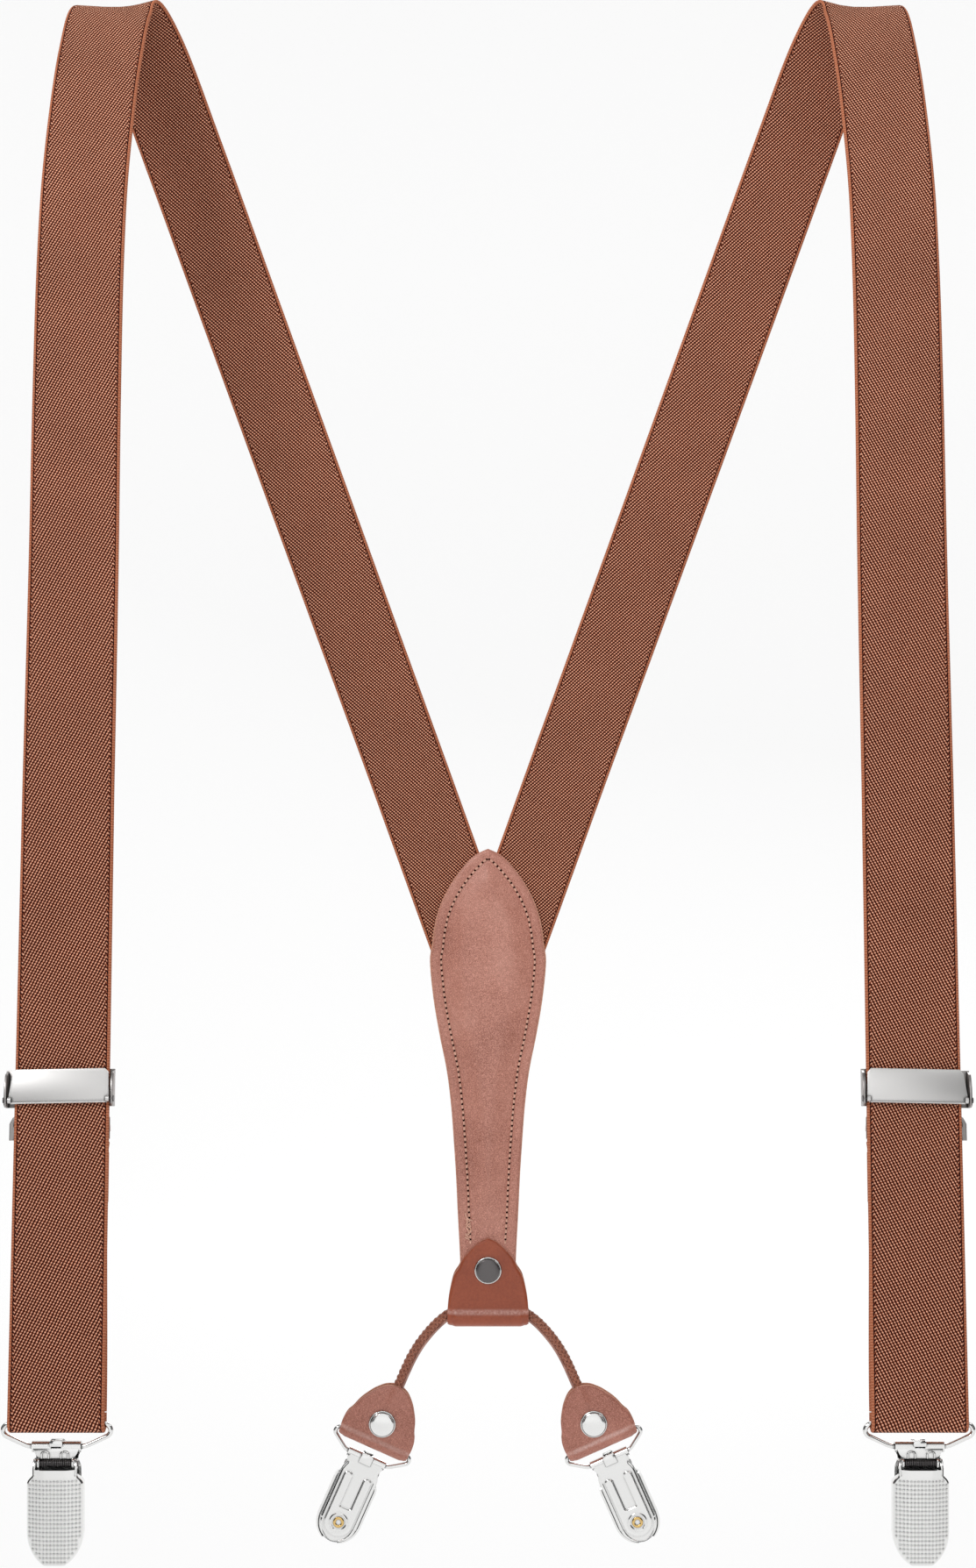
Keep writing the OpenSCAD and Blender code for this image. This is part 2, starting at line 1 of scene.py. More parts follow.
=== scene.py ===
"""Clip-on Y-back suspenders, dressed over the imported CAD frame.

Lengths are millimetres in the row frame, and pieces are turned to metres when their mesh is made. The
camera and the studio are in metres. Whatever has a left and a right is built on the left and mirrored.
"""

import math
import random

import bmesh
import bpy
import numpy as np
from mathutils import Matrix, Vector


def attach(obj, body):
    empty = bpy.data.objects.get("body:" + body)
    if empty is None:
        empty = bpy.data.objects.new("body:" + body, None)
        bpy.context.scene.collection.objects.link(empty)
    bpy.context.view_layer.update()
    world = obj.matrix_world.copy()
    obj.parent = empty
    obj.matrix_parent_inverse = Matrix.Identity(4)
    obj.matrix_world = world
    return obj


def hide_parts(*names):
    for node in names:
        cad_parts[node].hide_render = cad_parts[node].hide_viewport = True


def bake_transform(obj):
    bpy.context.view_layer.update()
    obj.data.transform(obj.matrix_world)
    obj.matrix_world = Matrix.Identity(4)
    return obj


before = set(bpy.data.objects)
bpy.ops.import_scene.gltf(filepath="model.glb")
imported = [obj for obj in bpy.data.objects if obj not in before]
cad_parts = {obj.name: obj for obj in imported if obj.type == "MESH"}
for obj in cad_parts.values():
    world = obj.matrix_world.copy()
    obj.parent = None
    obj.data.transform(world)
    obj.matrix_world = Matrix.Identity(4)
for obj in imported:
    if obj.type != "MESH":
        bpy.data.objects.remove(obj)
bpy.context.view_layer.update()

MM = 0.001
SIDES = ("left", "right")
CLIPS = ("front_left", "front_right", "back_left", "back_right")

# ---------- Dimensions shared with the CAD part ----------

WEB_W, WEB_T = 30.0, 1.5
BACK_Y = 45.0
FRONT_BAR = np.array([-132.8, -117.6, -475.1])
RUN_LEAN, RUN_TURN = math.radians(12), math.radians(-1.1)
FOLD_R = 1.2
LAYER_Y = FOLD_R + WEB_T / 2
ADJUSTER_H, ADJUSTER_SHIFT = 89.1, -0.8
YOKE_TIP_Z = -302.6
LEATHER_T, TAB_LEATHER_T = 1.4, 1.3
LAYER_GAP = 0.15
RIVET_Z = -461.7
HANGER_BOTTOM_Z = -483.2
HANGER_INNER_R = WEB_T / 2 + LEATHER_T + 2 * LAYER_GAP
CORD_TOP_Z = -474.9
TAB_TILT = math.radians(24)
TAB_BAR = np.array([-43.2, BACK_Y, -527.3])
TAB_FOLD_R = 1.1
TAB_OUTER_R = TAB_FOLD_R + TAB_LEATHER_T
WIRE_R = 0.8
TUBE_END_X = 8.6
FRONT_RING, BACK_RING = (14.6, 2.0, math.radians(24.7)), (13.4, 1.75, math.radians(34))
SHEET_T = 0.8
TUBE_IN_R = 0.95
TUBE_OUT_R = TUBE_IN_R + SHEET_T
TUBE_LEN = 15.1
PIN_Y, PIN_Z, PIN_R = -1.6, -4.8, 0.9
EAR_X = 5.95
EYELET_Z = -25.8
RIVET_CAP_R, RIVET_CAP_H = 5.1, 1.5

STRAP_POINTS = [
    (-137.8, -61.8, -205), (-139.2, -48.4, -147), (-140, -36.6, -97), (-139.4, -27.5, -60),
    (-136.8, -14.8, -20), (-133.9, 0, WEB_T / 2), (-125.4, 14, -11), (-112.7, 26.7, -45.4),
    (-89.1, 31.4, -110.7), (-65.5, 36, -176), (-43.2, 41, -237.7), (-31.5, 43.8, -270),
    (-20.7, BACK_Y, -300), (-10, BACK_Y, -329.6), (-4, BACK_Y, -346),
]
CORD_HALF = [
    (0, 0), (4, -0.3), (8, -1.2), (12, -2.7), (15.5, -4.7), (19, -7.5), (22.5, -11.2), (26, -15.7),
    (29, -20.7), (31.6, -26.2), (33.2, -29.9), (36, -36.2),
]
# Outlines: distance along the piece, half width
YOKE_OUTLINE = [
    (0, 0), (2, 4.3), (5.2, 8), (12, 13.3), (20, 17.6), (28, 20.1), (36.6, 21.3), (43, 22),
    (57, 20.6), (70.5, 18.3), (84, 15.6), (97, 14), (110, 13), (124, 12.1), (137, 11.5),
    (150, 10.8), (162, 10.2), (166, 9), (168, 6.5),
]
HANGER_OUTLINE = [
    (0, 15.3), (6.3, 15.3), (12.3, 14.6), (19, 13), (22.3, 11), (25.3, 9.7), (28.6, 7), (31.8, 3.6),
    (33.4, 0.2),
]
TAB_OUTLINE = [
    (0, 13.8), (3, 14.1), (6, 14.2), (9, 13.8), (11.3, 12.7), (15.2, 11.3), (18.7, 9.3), (21.4, 7.3),
    (24.2, 4.2), (25.7, 0.2),
]


# ---------- Small geometry helpers; all work on numpy arrays in mm ----------

def rotation(axis, angle):
    return np.array(Matrix.Rotation(angle, 3, axis))


RUN = rotation("Y", RUN_TURN) @ rotation("X", -RUN_LEAN)
TAB_TURN = rotation("Y", TAB_TILT)
HALF_TURN = rotation("Z", math.pi)


def ring_drop(ring):
    bar, bend, slope = ring
    return bend * (1 + math.cos(slope)) + (bar + bend * math.sin(slope) - TUBE_END_X) * math.tan(slope)


def on_run(p):
    return np.asarray(p, float) @ RUN.T + FRONT_BAR


def on_adjuster(p):
    return on_run(np.asarray(p, float) + [ADJUSTER_SHIFT, 0, 0])


def on_tab(p):
    return np.asarray(p, float) @ TAB_TURN.T + TAB_BAR


def on_front_bar(p):
    return np.asarray(p, float) + FRONT_BAR


def on_front_clip(p):
    return on_front_bar(np.asarray(p, float) + [0, 0, -ring_drop(FRONT_RING)])


def on_back_clip(p):
    return on_tab(np.asarray(p, float) @ HALF_TURN.T + [0, 0, -ring_drop(BACK_RING)])


def in_place(p):
    return np.asarray(p, float)


def catmull(points, steps):
    """A smooth curve through points, with that many steps for each stretch."""
    p = np.asarray(points, float)
    out = []
    for i in range(len(p) - 1):
        a, b, c, d = p[max(i - 1, 0)], p[i], p[i + 1], p[min(i + 2, len(p) - 1)]
        for k in range(steps):
            t = k / steps
            out.append(0.5 * (2 * b + (c - a) * t + (2 * a - 5 * b + 4 * c - d) * t**2
                              + (3 * b - a - 3 * c + d) * t**3))
    out.append(p[-1])
    return np.array(out)


def length_along(path):
    return np.concatenate([[0], np.cumsum(np.linalg.norm(np.diff(path, axis=0), axis=1))])


def evenly(path, spacing):
    """The same path with points about that far apart."""
    s = length_along(path)
    n = max(2, int(round(s[-1] / spacing)) + 1)
    at = np.linspace(0, s[-1], n)
    return np.stack([np.interp(at, s, path[:, i]) for i in range(path.shape[1])], 1)


def tangents(path):
    t = np.gradient(path, axis=0)
    return t / np.linalg.norm(t, axis=1)[:, None]


def smooth(x, low, high):
    t = np.clip((np.asarray(x, float) - low) / (high - low), 0, 1)
    return t * t * (3 - 2 * t)


class Shape:
    """Vertices in mm, faces, and for each vertex a place on the cloth or leather as (across, along).

    What is added is given in the piece's own axes, and at takes it to its place."""

    def __init__(self, at=in_place):
        self.at = at
        self.v, self.f, self.uv = [], [], []

    def add(self, v, f, uv=None):
        v = np.asarray(v, float)
        base = len(self.v)
        self.v += [tuple(x) for x in self.at(v)]
        self.f += [tuple(int(i) + base for i in face) for face in f]
        self.uv += [tuple(x) for x in (v[:, [0, 2]] if uv is None else uv)]
        return self


def grid_faces(rows, cols, base=0, flip=False, wrap=False):
    faces = []
    for i in range(rows - 1):
        for j in range(cols if wrap else cols - 1):
            a, b = base + i * cols + j, base + i * cols + (j + 1) % cols
            c, d = b + cols, a + cols
            faces.append((a, d, c, b) if flip else (a, b, c, d))
    return faces


def grid_solid(top, bottom, uv):
    """Closed solid between two grids of points that have the same rows and columns."""
    rows, cols = top.shape[:2]
    n = rows * cols
    v = np.concatenate([top.reshape(-1, 3), bottom.reshape(-1, 3)])
    faces = grid_faces(rows, cols) + grid_faces(rows, cols, n, flip=True)
    edge = (list(range(cols)) + [i * cols + cols - 1 for i in range(1, rows)]
            + [(rows - 1) * cols + j for j in range(cols - 2, -1, -1)]
            + [i * cols for i in range(rows - 2, 0, -1)])
    for k, a in enumerate(edge):
        b = edge[(k + 1) % len(edge)]
        faces.append((b, a, a + n, b + n))
    flat = uv.reshape(-1, 2)
    return v, faces, np.concatenate([flat, flat])


def end_caps(rings, n):
    """The two polygons that close a stack of rings with n points each."""
    return [tuple(range(n - 1, -1, -1)), tuple((rings - 1) * n + k for k in range(n))]


def tube(path, radius, sides):
    """Closed round tube along a path; radius is one number or one for each point."""
    path = np.asarray(path, float)
    r = np.broadcast_to(np.asarray(radius, float), (len(path),))
    t = tangents(path)
    up = np.cross(t[0], [0, 1, 0]) if abs(t[0][1]) < 0.9 else np.cross(t[0], [1, 0, 0])
    up /= np.linalg.norm(up)
    v, uv = [], []
    s = length_along(path)
    for i in range(len(path)):
        up = up - t[i] * up.dot(t[i])
        up /= np.linalg.norm(up)
        side = np.cross(t[i], up)
        for k in range(sides):
            a = 2 * math.pi * k / sides
            v.append(path[i] + r[i] * (math.cos(a) * up + math.sin(a) * side))
            uv.append((r[i] * a, s[i]))
    return np.array(v), grid_faces(len(path), sides, wrap=True) + end_caps(len(path), sides), uv


def turned(profile, steps):
    """Points of (radius, y) turned round the Y axis."""
    return [(r * math.cos(2 * math.pi * k / steps), y, r * math.sin(2 * math.pi * k / steps))
            for r, y in profile for k in range(steps)]


def lathe(profile, steps):
    """Closed solid turned round the Y axis from (radius, y) points that start and end on the axis."""
    inner = profile[1:-1]
    v = turned(inner, steps) + [(0, profile[0][1], 0), (0, profile[-1][1], 0)]
    faces = grid_faces(len(inner), steps, wrap=True)
    first, last = len(v) - 2, len(v) - 1
    base = (len(inner) - 1) * steps
    for k in range(steps):
        faces.append((first, (k + 1) % steps, k))
        faces.append((last, base + k, base + (k + 1) % steps))
    return np.array(v, float), faces


def ring_lathe(profile, steps):
    """Closed ring turned round the Y axis from a closed loop of (radius, y) points."""
    return np.array(turned(profile + profile[:1], steps)), grid_faces(len(profile) + 1, steps, wrap=True)


def moved(solid, by):
    v, faces = solid
    return v + by, faces


def inset(loop, d):
    """A closed 2D loop drawn in by d, by its corners' normals."""
    p = np.asarray(loop, float)
    area = np.sum(p[:, 0] * np.roll(p[:, 1], -1) - np.roll(p[:, 0], -1) * p[:, 1])
    turn = 1 if area > 0 else -1
    e0, e1 = p - np.roll(p, 1, 0), np.roll(p, -1, 0) - p
    n0 = np.stack([-e0[:, 1], e0[:, 0]], 1) / np.linalg.norm(e0, axis=1)[:, None]
    n1 = np.stack([-e1[:, 1], e1[:, 0]], 1) / np.linalg.norm(e1, axis=1)[:, None]
    n = n0 + n1
    n = n / np.maximum(np.sum(n * n, axis=1) / 2, 0.35)[:, None]
    return p + turn * d * n


def bevelled_slab(loop, y0, y1, bevel):
    """A flat plate: a loop in the XZ plane between y0 and y1, its edges rounded over."""
    p = np.asarray(loop, float)
    steps = [(bevel, 0), (bevel * 0.3, bevel * 0.3), (0, bevel)]
    rings = [(inset(p, d), y0 + up) for d, up in steps]
    rings += [(inset(p, d), y1 - up) for d, up in reversed(steps)]
    v = np.concatenate([np.stack([r[:, 0], np.full(len(r), y), r[:, 1]], 1) for r, y in rings])
    return v, grid_faces(len(rings), len(p), wrap=True) + end_caps(len(rings), len(p))


def side_slab(outline, x, thick, bevel):
    """A flat plate that stands across the webbing at x: its outline is (y, z)."""
    v, f = bevelled_slab(outline, -thick / 2, thick / 2, bevel)
    return np.stack([v[:, 1] + x, v[:, 0], v[:, 2]], 1), f


def closer_at_ends(n):
    """n places from -1 to 1 that lie closer together towards both ends."""
    return np.sin(np.linspace(-math.pi / 2, math.pi / 2, n))


def half_widths(outline, at):
    curve = catmull(outline, 8)
    order = np.argsort(curve[:, 0])
    return np.interp(at, curve[order, 0], curve[order, 1])


# ---------- Pieces ----------

def make_piece(name, shape, materials, body, side="left", stands_for=(), sharp=35, pick=None):
    """Mesh object from a Shape, mirrored for the right side, riding on its body.

    pick chooses one of the materials from a face's number; edges sharper than sharp degrees stay hard."""
    v = np.array(shape.v) * MM
    faces = shape.f
    if side == "right":
        v = v * [-1, 1, 1]
        faces = [tuple(reversed(f)) for f in faces]
    mesh = bpy.data.meshes.new(name)
    mesh.from_pydata([tuple(x) for x in v], [], faces)
    layer = mesh.uv_layers.new(name="Weave")
    uv = np.array(shape.uv, np.float32)
    loops = np.empty(len(mesh.loops), dtype=np.int32)
    mesh.loops.foreach_get("vertex_index", loops)
    layer.data.foreach_set("uv", uv[loops].ravel())
    for m in materials if isinstance(materials, (list, tuple)) else [materials]:
        mesh.materials.append(m)
    if pick is not None:
        mesh.polygons.foreach_set("material_index", [pick(k) for k in range(len(mesh.polygons))])
    bm = bmesh.new()
    bm.from_mesh(mesh)
    bmesh.ops.recalc_face_normals(bm, faces=bm.faces)
    bm.to_mesh(mesh)
    bm.free()
    mesh.shade_smooth()
    mesh.set_sharp_from_angle(angle=math.radians(sharp))
    mesh.update()
    obj = bpy.data.objects.new(name, mesh)
    bpy.context.scene.collection.objects.link(obj)
    if body:
        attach(obj, body)
    if stands_for:
        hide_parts(*stands_for)
    return obj


# ---------- Materials ----------

class Signal:
    """A shader socket that takes part in ordinary arithmetic; each operation makes a Math node."""

    def __init__(self, nodes, socket):
        self.nodes, self.socket = nodes, socket

    def __add__(self, other):
        return self.nodes.math("ADD", self, other)

    def __radd__(self, other):
        return self.nodes.math("ADD", other, self)

    def __sub__(self, other):
        return self.nodes.math("SUBTRACT", self, other)

    def __rsub__(self, other):
        return self.nodes.math("SUBTRACT", other, self)

    def __mul__(self, other):
        return self.nodes.math("MULTIPLY", self, other)

    def __pow__(self, other):
        return self.nodes.math("POWER", self, other)

    def __abs__(self):
        return self.nodes.math("ABSOLUTE", self)


class Nodes:
    """Short names for building a material's node tree; keyword names are the shader's own sockets."""

    def __init__(self, name, **sockets):
        self.material = bpy.data.materials.new(name)
        self.material.use_nodes = True
        self.tree = self.material.node_tree
        self.shader = self.tree.nodes["Principled BSDF"]
        for socket, value in sockets.items():
            self.feed(self.shader.inputs[socket.replace("_", " ")], value)

    def feed(self, socket, x):
        """Links a signal to a socket, or sets the number, vector or (r, g, b) there."""
        if isinstance(x, Signal):
            self.tree.links.new(x.socket, socket)
        else:
            socket.default_value = (*x, 1) if socket.type == "RGBA" else x

    def node(self, kind, inputs, output=0, **settings):
        """One output of a new node, its inputs given by name or number."""
        n = self.tree.nodes.new(kind)
        for key, value in settings.items():
            setattr(n, key, value)
        for key, x in inputs.items():
            self.feed(n.inputs[key], x)
        return Signal(self, n.outputs[output])

    def math(self, operation, *values):
        return self.node("ShaderNodeMath", dict(enumerate(values)), operation=operation)

    def wave(self, phase):
        """Up to 1 and back to 0 once for each unit of phase."""
        return abs(self.math("SINE", phase * math.pi))

    def step(self, value, low, high):
        """0 at low, 1 at high, eased between them."""
        return self.node("ShaderNodeMapRange", {0: value, 1: low, 2: high}, interpolation_type="SMOOTHSTEP")

    def ramp(self, value, stops):
        n = self.tree.nodes.new("ShaderNodeValToRGB")
        while len(n.color_ramp.elements) < len(stops):
            n.color_ramp.elements.new(0.5)
        for element, (place, colour) in zip(n.color_ramp.elements, stops):
            element.position = place
            element.color = (*colour, 1)
        self.feed(n.inputs[0], value)
        return Signal(self, n.outputs[0])

    def mix(self, share, a, b):
        return self.node("ShaderNodeMix", {0: share, 6: a, 7: b}, 2, data_type="RGBA")

    def noise(self, scale, detail, vector, roughness=0.5):
        return self.node("ShaderNodeTexNoise", {"Scale": scale, "Detail": detail, "Roughness": roughness,
                                                "Vector": vector})

    def object_space(self):
        return self.node("ShaderNodeTexCoord", {}, "Object")

    def weave(self):
        """The place on the cloth or leather: as one vector, across, and along."""
        uv = self.node("ShaderNodeUVMap", {}, uv_map="Weave")
        split = self.tree.nodes.new("ShaderNodeSeparateXYZ")
        self.feed(split.inputs[0], uv)
        return uv, Signal(self, split.outputs[0]), Signal(self, split.outputs[1])

    def bump(self, height, strength, distance_mm):
        self.feed(self.shader.inputs["Normal"], self.node(
            "ShaderNodeBump", {"Strength": strength, "Distance": distance_mm * MM, "Height": height}))

    def colour(self, value):
        self.feed(self.shader.inputs["Base Color"], value)

    def rough(self, value):
        self.feed(self.shader.inputs["Roughness"], value)


def srgb(r, g, b):
    def linear(c):
        c /= 255
        return c / 12.92 if c <= 0.04045 else ((c + 0.055) / 1.055) ** 2.4
    return linear(r), linear(g), linear(b)


# Tones by the weave's height: the low stops are painted shade in the grooves, the high stops a painted
# highlight on the yarns' tops.
WEBBING_SHADED_TONES = [(0.3, srgb(34, 0, 0)), (0.48, srgb(98, 30, 8)), (0.67, srgb(174, 90, 54)),
                 (0.91, srgb(250, 192, 162))]
SELVEDGE_SHADED_TONES = [(0.2, srgb(120, 54, 28)), (0.6, srgb(174, 98, 66)), (0.95, srgb(214, 146, 114))]
TWILL_SLANT, TWILL_PITCH = math.radians(62), 0.95
BORDER_SLANT, BORDER_PITCH, BORDER_W = math.radians(-52), 0.85, 1.7
YARN_PITCH, BAR_PITCH, SELVEDGE_W = 0.94, 0.85, 0.95


def webbing_material():
    """Elastic twill: slanting ribs made of rows of stitches, a border slanting back, a corded selvedge."""
    m = Nodes("webbing_twill", Roughness=0.82, Sheen_Weight=0.05, Sheen_Roughness=0.5,
              Sheen_Tint=srgb(230, 160, 130), Specular_IOR_Level=0.2)
    uv, across, along = m.weave()
    # Small wander of the yarns, so that the ribs aren't ruled lines
    wander = m.noise(0.22, 2.0, uv) - 0.5

    def ribs(slant, pitch):
        return m.wave(across * (math.sin(slant) / pitch) - along * (math.cos(slant) / pitch) + wander * 0.5)

    def past(distance, soft):
        return m.step(abs(across), distance - soft, distance + soft)

    lit = m.wave(along * (1 / YARN_PITCH) + across * 0.36) * 0.5 + 0.5
    twill = ribs(TWILL_SLANT, TWILL_PITCH) ** 0.85 * lit
    border = ribs(BORDER_SLANT, BORDER_PITCH) ** 0.85 * lit
    cord_at = WEB_W / 2 - SELVEDGE_W
    in_border, in_cord = past(WEB_W / 2 - BORDER_W, 0.12), past(cord_at, 0.08)
    woven = twill * (1.0 - in_border) + border * in_border
    corded = abs(m.math("SINE", along * (math.pi / BAR_PITCH))) * 0.3 + 0.5
    line = past(cord_at - 0.35, 0.1) * (1.0 - in_cord)
    height = (woven * (1.0 - in_cord) + corded * in_cord) * (1.0 - line * 0.5)
    fuzz = m.noise(3.2, 2.0, uv)
    tone = height + (fuzz - 0.5) * 0.35
    patchy = 1.0 + (m.noise(0.05, 2.0, uv) - 0.5) * 0.25
    # The weave's height picks the colour, so the grooves carry painted shade and the crests a painted
    # highlight.
    colour = m.mix(in_cord, m.ramp(tone, WEBBING_SHADED_TONES), m.ramp(tone, SELVEDGE_SHADED_TONES))
    m.colour(m.node("ShaderNodeHueSaturation", {"Value": patchy, "Color": colour}))
    m.rough(0.74 + fuzz * 0.16)
    m.bump(height, 0.9, 0.42)
    return m.material


def leather_material(name, low, mid, high, roughness, grain, glint_share, fold_highlight=None):
    """Fine-grained leather: pebbles, pores, a slow change of tone, pale flecks that are painted glints on
    the grain and, if asked, a painted highlight band along a fold.
    """
    m = Nodes(name, Specular_IOR_Level=0.5, Coat_Weight=0.12, Coat_Roughness=0.35)
    space = m.object_space()
    pebbles = m.node("ShaderNodeTexVoronoi", {"Scale": 1500, "Smoothness": 0.6, "Vector": space},
                     feature="SMOOTH_F1")
    cloud = m.noise(38, 4.0, space, 0.6)
    fine = m.noise(900, 3.0, space)
    base = m.ramp(cloud * 0.7 + fine * 0.3, [(0.3, low), (0.5, mid), (0.72, high)])
    # Pale flecks scattered at random: painted glints that stand for small highlights on the grain.
    painted_glints = m.step(m.noise(3600, 2.0, space, 0.6), 0.36, 0.78)
    glint_colour = tuple(min(c * 1.5 + 0.04, 1) for c in high)
    colour = m.mix(painted_glints * glint_share, m.mix(pebbles * 0.22, base, low), glint_colour)
    if fold_highlight:
        # A band at a set distance from the fold is painted paler and mottled by noise: a painted highlight
        # along the top of the fold.
        fold_h, spread = fold_highlight
        painted_highlight_band = m.step(abs(abs(m.weave()[2]) - fold_h), spread, 0.2)
        highlight_mottle = m.noise(1300, 2.0, space, 0.6) * 1.5 - 0.2
        colour = m.mix(painted_highlight_band * highlight_mottle * 0.6, colour, srgb(236, 196, 186))
    m.colour(colour)
    m.rough(roughness - 0.06 + fine * 0.14)
    m.bump(m.noise(4200, 2.0, space) * 0.35 - pebbles, grain, 0.12)
    return m.material


def cut_edge_material():
    """The raw edge of cut leather: paler, fibrous and dull."""
    m = Nodes("leather_cut_edge", Roughness=0.85)
    fibre = m.noise(1800, 4.0, m.object_space(), 0.7)
    m.colour(m.ramp(fibre, [(0.3, srgb(176, 118, 94)), (0.7, srgb(226, 172, 148))]))
    m.bump(fibre, 0.5, 0.15)
    return m.material


def metal_material(name, colour, roughness, brushed=0.0):
    """Plated metal: a little smudged, with painted shade in its creases, and brushed up and down if asked.
    """
    m = Nodes(name, Metallic=1.0)
    space = m.object_space()
    cloud = m.noise(60, 3.0, space)
    # Ambient occlusion darkens the colour in creases and beside other parts: painted shade, which gives the
    # metal dark outlines.
    painted_crease_shade = m.node("ShaderNodeAmbientOcclusion", {"Distance": 0.9 * MM}, "AO", samples=6)
    plain = m.mix(cloud * 0.25, colour, tuple(c * 0.8 for c in colour))
    m.colour(m.mix(painted_crease_shade ** 3.4, tuple(c * 0.08 for c in colour), plain))
    m.rough(roughness + (cloud - 0.4) * 0.05)
    if brushed:
        drawn_out = m.node("ShaderNodeMapping", {"Scale": (1, 1, 30), "Vector": space})
        m.bump(m.noise(160, 3.0, drawn_out), brushed, 0.02)
    return m.material


def thread_material(name, low, high):
    """Twisted sewing thread, with painted shade in the twist's hollows and a painted highlight on its
    crests.
    """
    m = Nodes(name, Roughness=0.6, Sheen_Weight=0.3)
    across, along = m.weave()[1:]
    ply = m.wave(across * 2.6 + along * 3.4)
    # Low colour in the hollows between the plies and high colour on their crests: painted shade and painted
    # highlight.
    m.colour(m.ramp(ply, [(0.15, low), (0.85, high)]))
    m.bump(ply, 0.6, 0.1)
    return m.material


def piping_material():
    """The smooth glossy skin of the piped edge beside the braid."""
    m = Nodes("cord_piping_skin", Roughness=0.22, Coat_Weight=0.6, Coat_Roughness=0.12)
    cloud = m.noise(300, 3.0, m.object_space())
    m.colour(m.ramp(cloud, [(0.3, srgb(140, 90, 74)), (0.7, srgb(196, 146, 130))]))
    m.bump(cloud, 0.2, 0.05)
    return m.material


def clear_material():
    """Clear soft plastic of the jaw pads, a little cloudy."""
    m = Nodes("clear_jaw_plastic", IOR=1.45, Transmission_Weight=0.75)
    space = m.object_space()
    cloud = m.noise(200, 3.0, space)
    m.colour(m.ramp(cloud, [(0.3, (0.86, 0.88, 0.9)), (0.7, (0.95, 0.96, 0.97))]))
    m.rough(0.12 + cloud * 0.16)
    m.bump(m.noise(700, 2.0, space), 0.15, 0.1)
    return m.material


WEBBING = webbing_material()
YOKE_LEATHER = leather_material("yoke_leather_grain", srgb(140, 78, 60), srgb(172, 110, 92),
                                srgb(200, 144, 128), 0.36, 0.6, 0.8)
# The last setting of the hanger and of the tabs gives the height and spread of a painted highlight band
# along their folds.
HANGER_LEATHER = leather_material("hanger_leather_grain", srgb(132, 56, 28), srgb(158, 74, 42),
                                  srgb(176, 90, 58), 0.34, 0.4, 0.1, fold_highlight=(5.8, 1.5))
TAB_LEATHER = leather_material("tab_leather_grain", srgb(130, 70, 50), srgb(160, 98, 80),
                               srgb(184, 124, 108), 0.34, 0.7, 0.7, fold_highlight=(3.6, 1.2))
CUT_EDGE = cut_edge_material()
NICKEL = metal_material("bright_nickel", (0.88, 0.88, 0.87), 0.14)
WIRE = metal_material("nickel_wire", (0.86, 0.86, 0.85), 0.1)
SATIN = metal_material("satin_nickel", (0.76, 0.75, 0.74), 0.46, brushed=0.2)
FRAME_METAL = metal_material("frame_nickel", (0.42, 0.4, 0.39), 0.34)
# Dark metal of the pins and the spring, also given to the yoke rivet's dome as a painted dark reflection.
DARK_NICKEL_AND_PAINTED_REFLECTION = metal_material("black_nickel_and_painted_reflection", (0.15, 0.14, 0.14), 0.32)
BRASS = metal_material("brass_eyelet", (0.8, 0.55, 0.22), 0.2)
YOKE_THREAD = thread_material("yoke_thread", srgb(186, 112, 84), srgb(250, 204, 180))
CORD_THREAD = thread_material("cord_yarn", srgb(60, 16, 6), srgb(196, 122, 92))
# Near-black material for the stitches' needle holes: painted shade.
NEEDLE_HOLE_SHADE = metal_material("needle_hole_shade", (0.07, 0.02, 0.015), 0.9)
PIPING = piping_material()
CLEAR = clear_material()


# ---------- Camera ----------

# In metres; the focal length is in pixels of the picture's height
CAMERA_DISTANCE, CAMERA_Z = 0.82, -0.278
FOCAL_PX, IMAGE_H = 2600.0, 1788
camera_data = bpy.data.cameras.new("camera")
camera_data.sensor_width = 36.0
camera_data.lens = FOCAL_PX / IMAGE_H * camera_data.sensor_width
camera_data.clip_start = 0.05
camera = bpy.data.objects.new("camera", camera_data)
camera.location = (0, -CAMERA_DISTANCE, CAMERA_Z)
camera.rotation_euler = (math.radians(90), 0, 0)
bpy.context.scene.collection.objects.link(camera)
bpy.context.scene.camera = camera


# ---------- Cord ----------

def cord_path():
    half = catmull(CORD_HALF, 4)
    left = [(-x, BACK_Y, CORD_TOP_Z + z) for x, z in half[:0:-1]]
    right = [(x, BACK_Y, CORD_TOP_Z + z) for x, z in half]
    return evenly(np.array(left + right), 0.8)


def offset_path(path, out):
    """The path moved outwards from the arch, in its own XZ plane."""
    t = tangents(path)
    normal = np.stack([-t[:, 2], np.zeros(len(t)), t[:, 0]], 1)
    return path + normal * out


BRAID_OUT, PIPING_OUT, PIPING_R = 0.45, -1.45, 0.62
STRANDS, BRAID_TURN, CORE_R, YARN_R = 8, 8.5, 1.05, 0.46


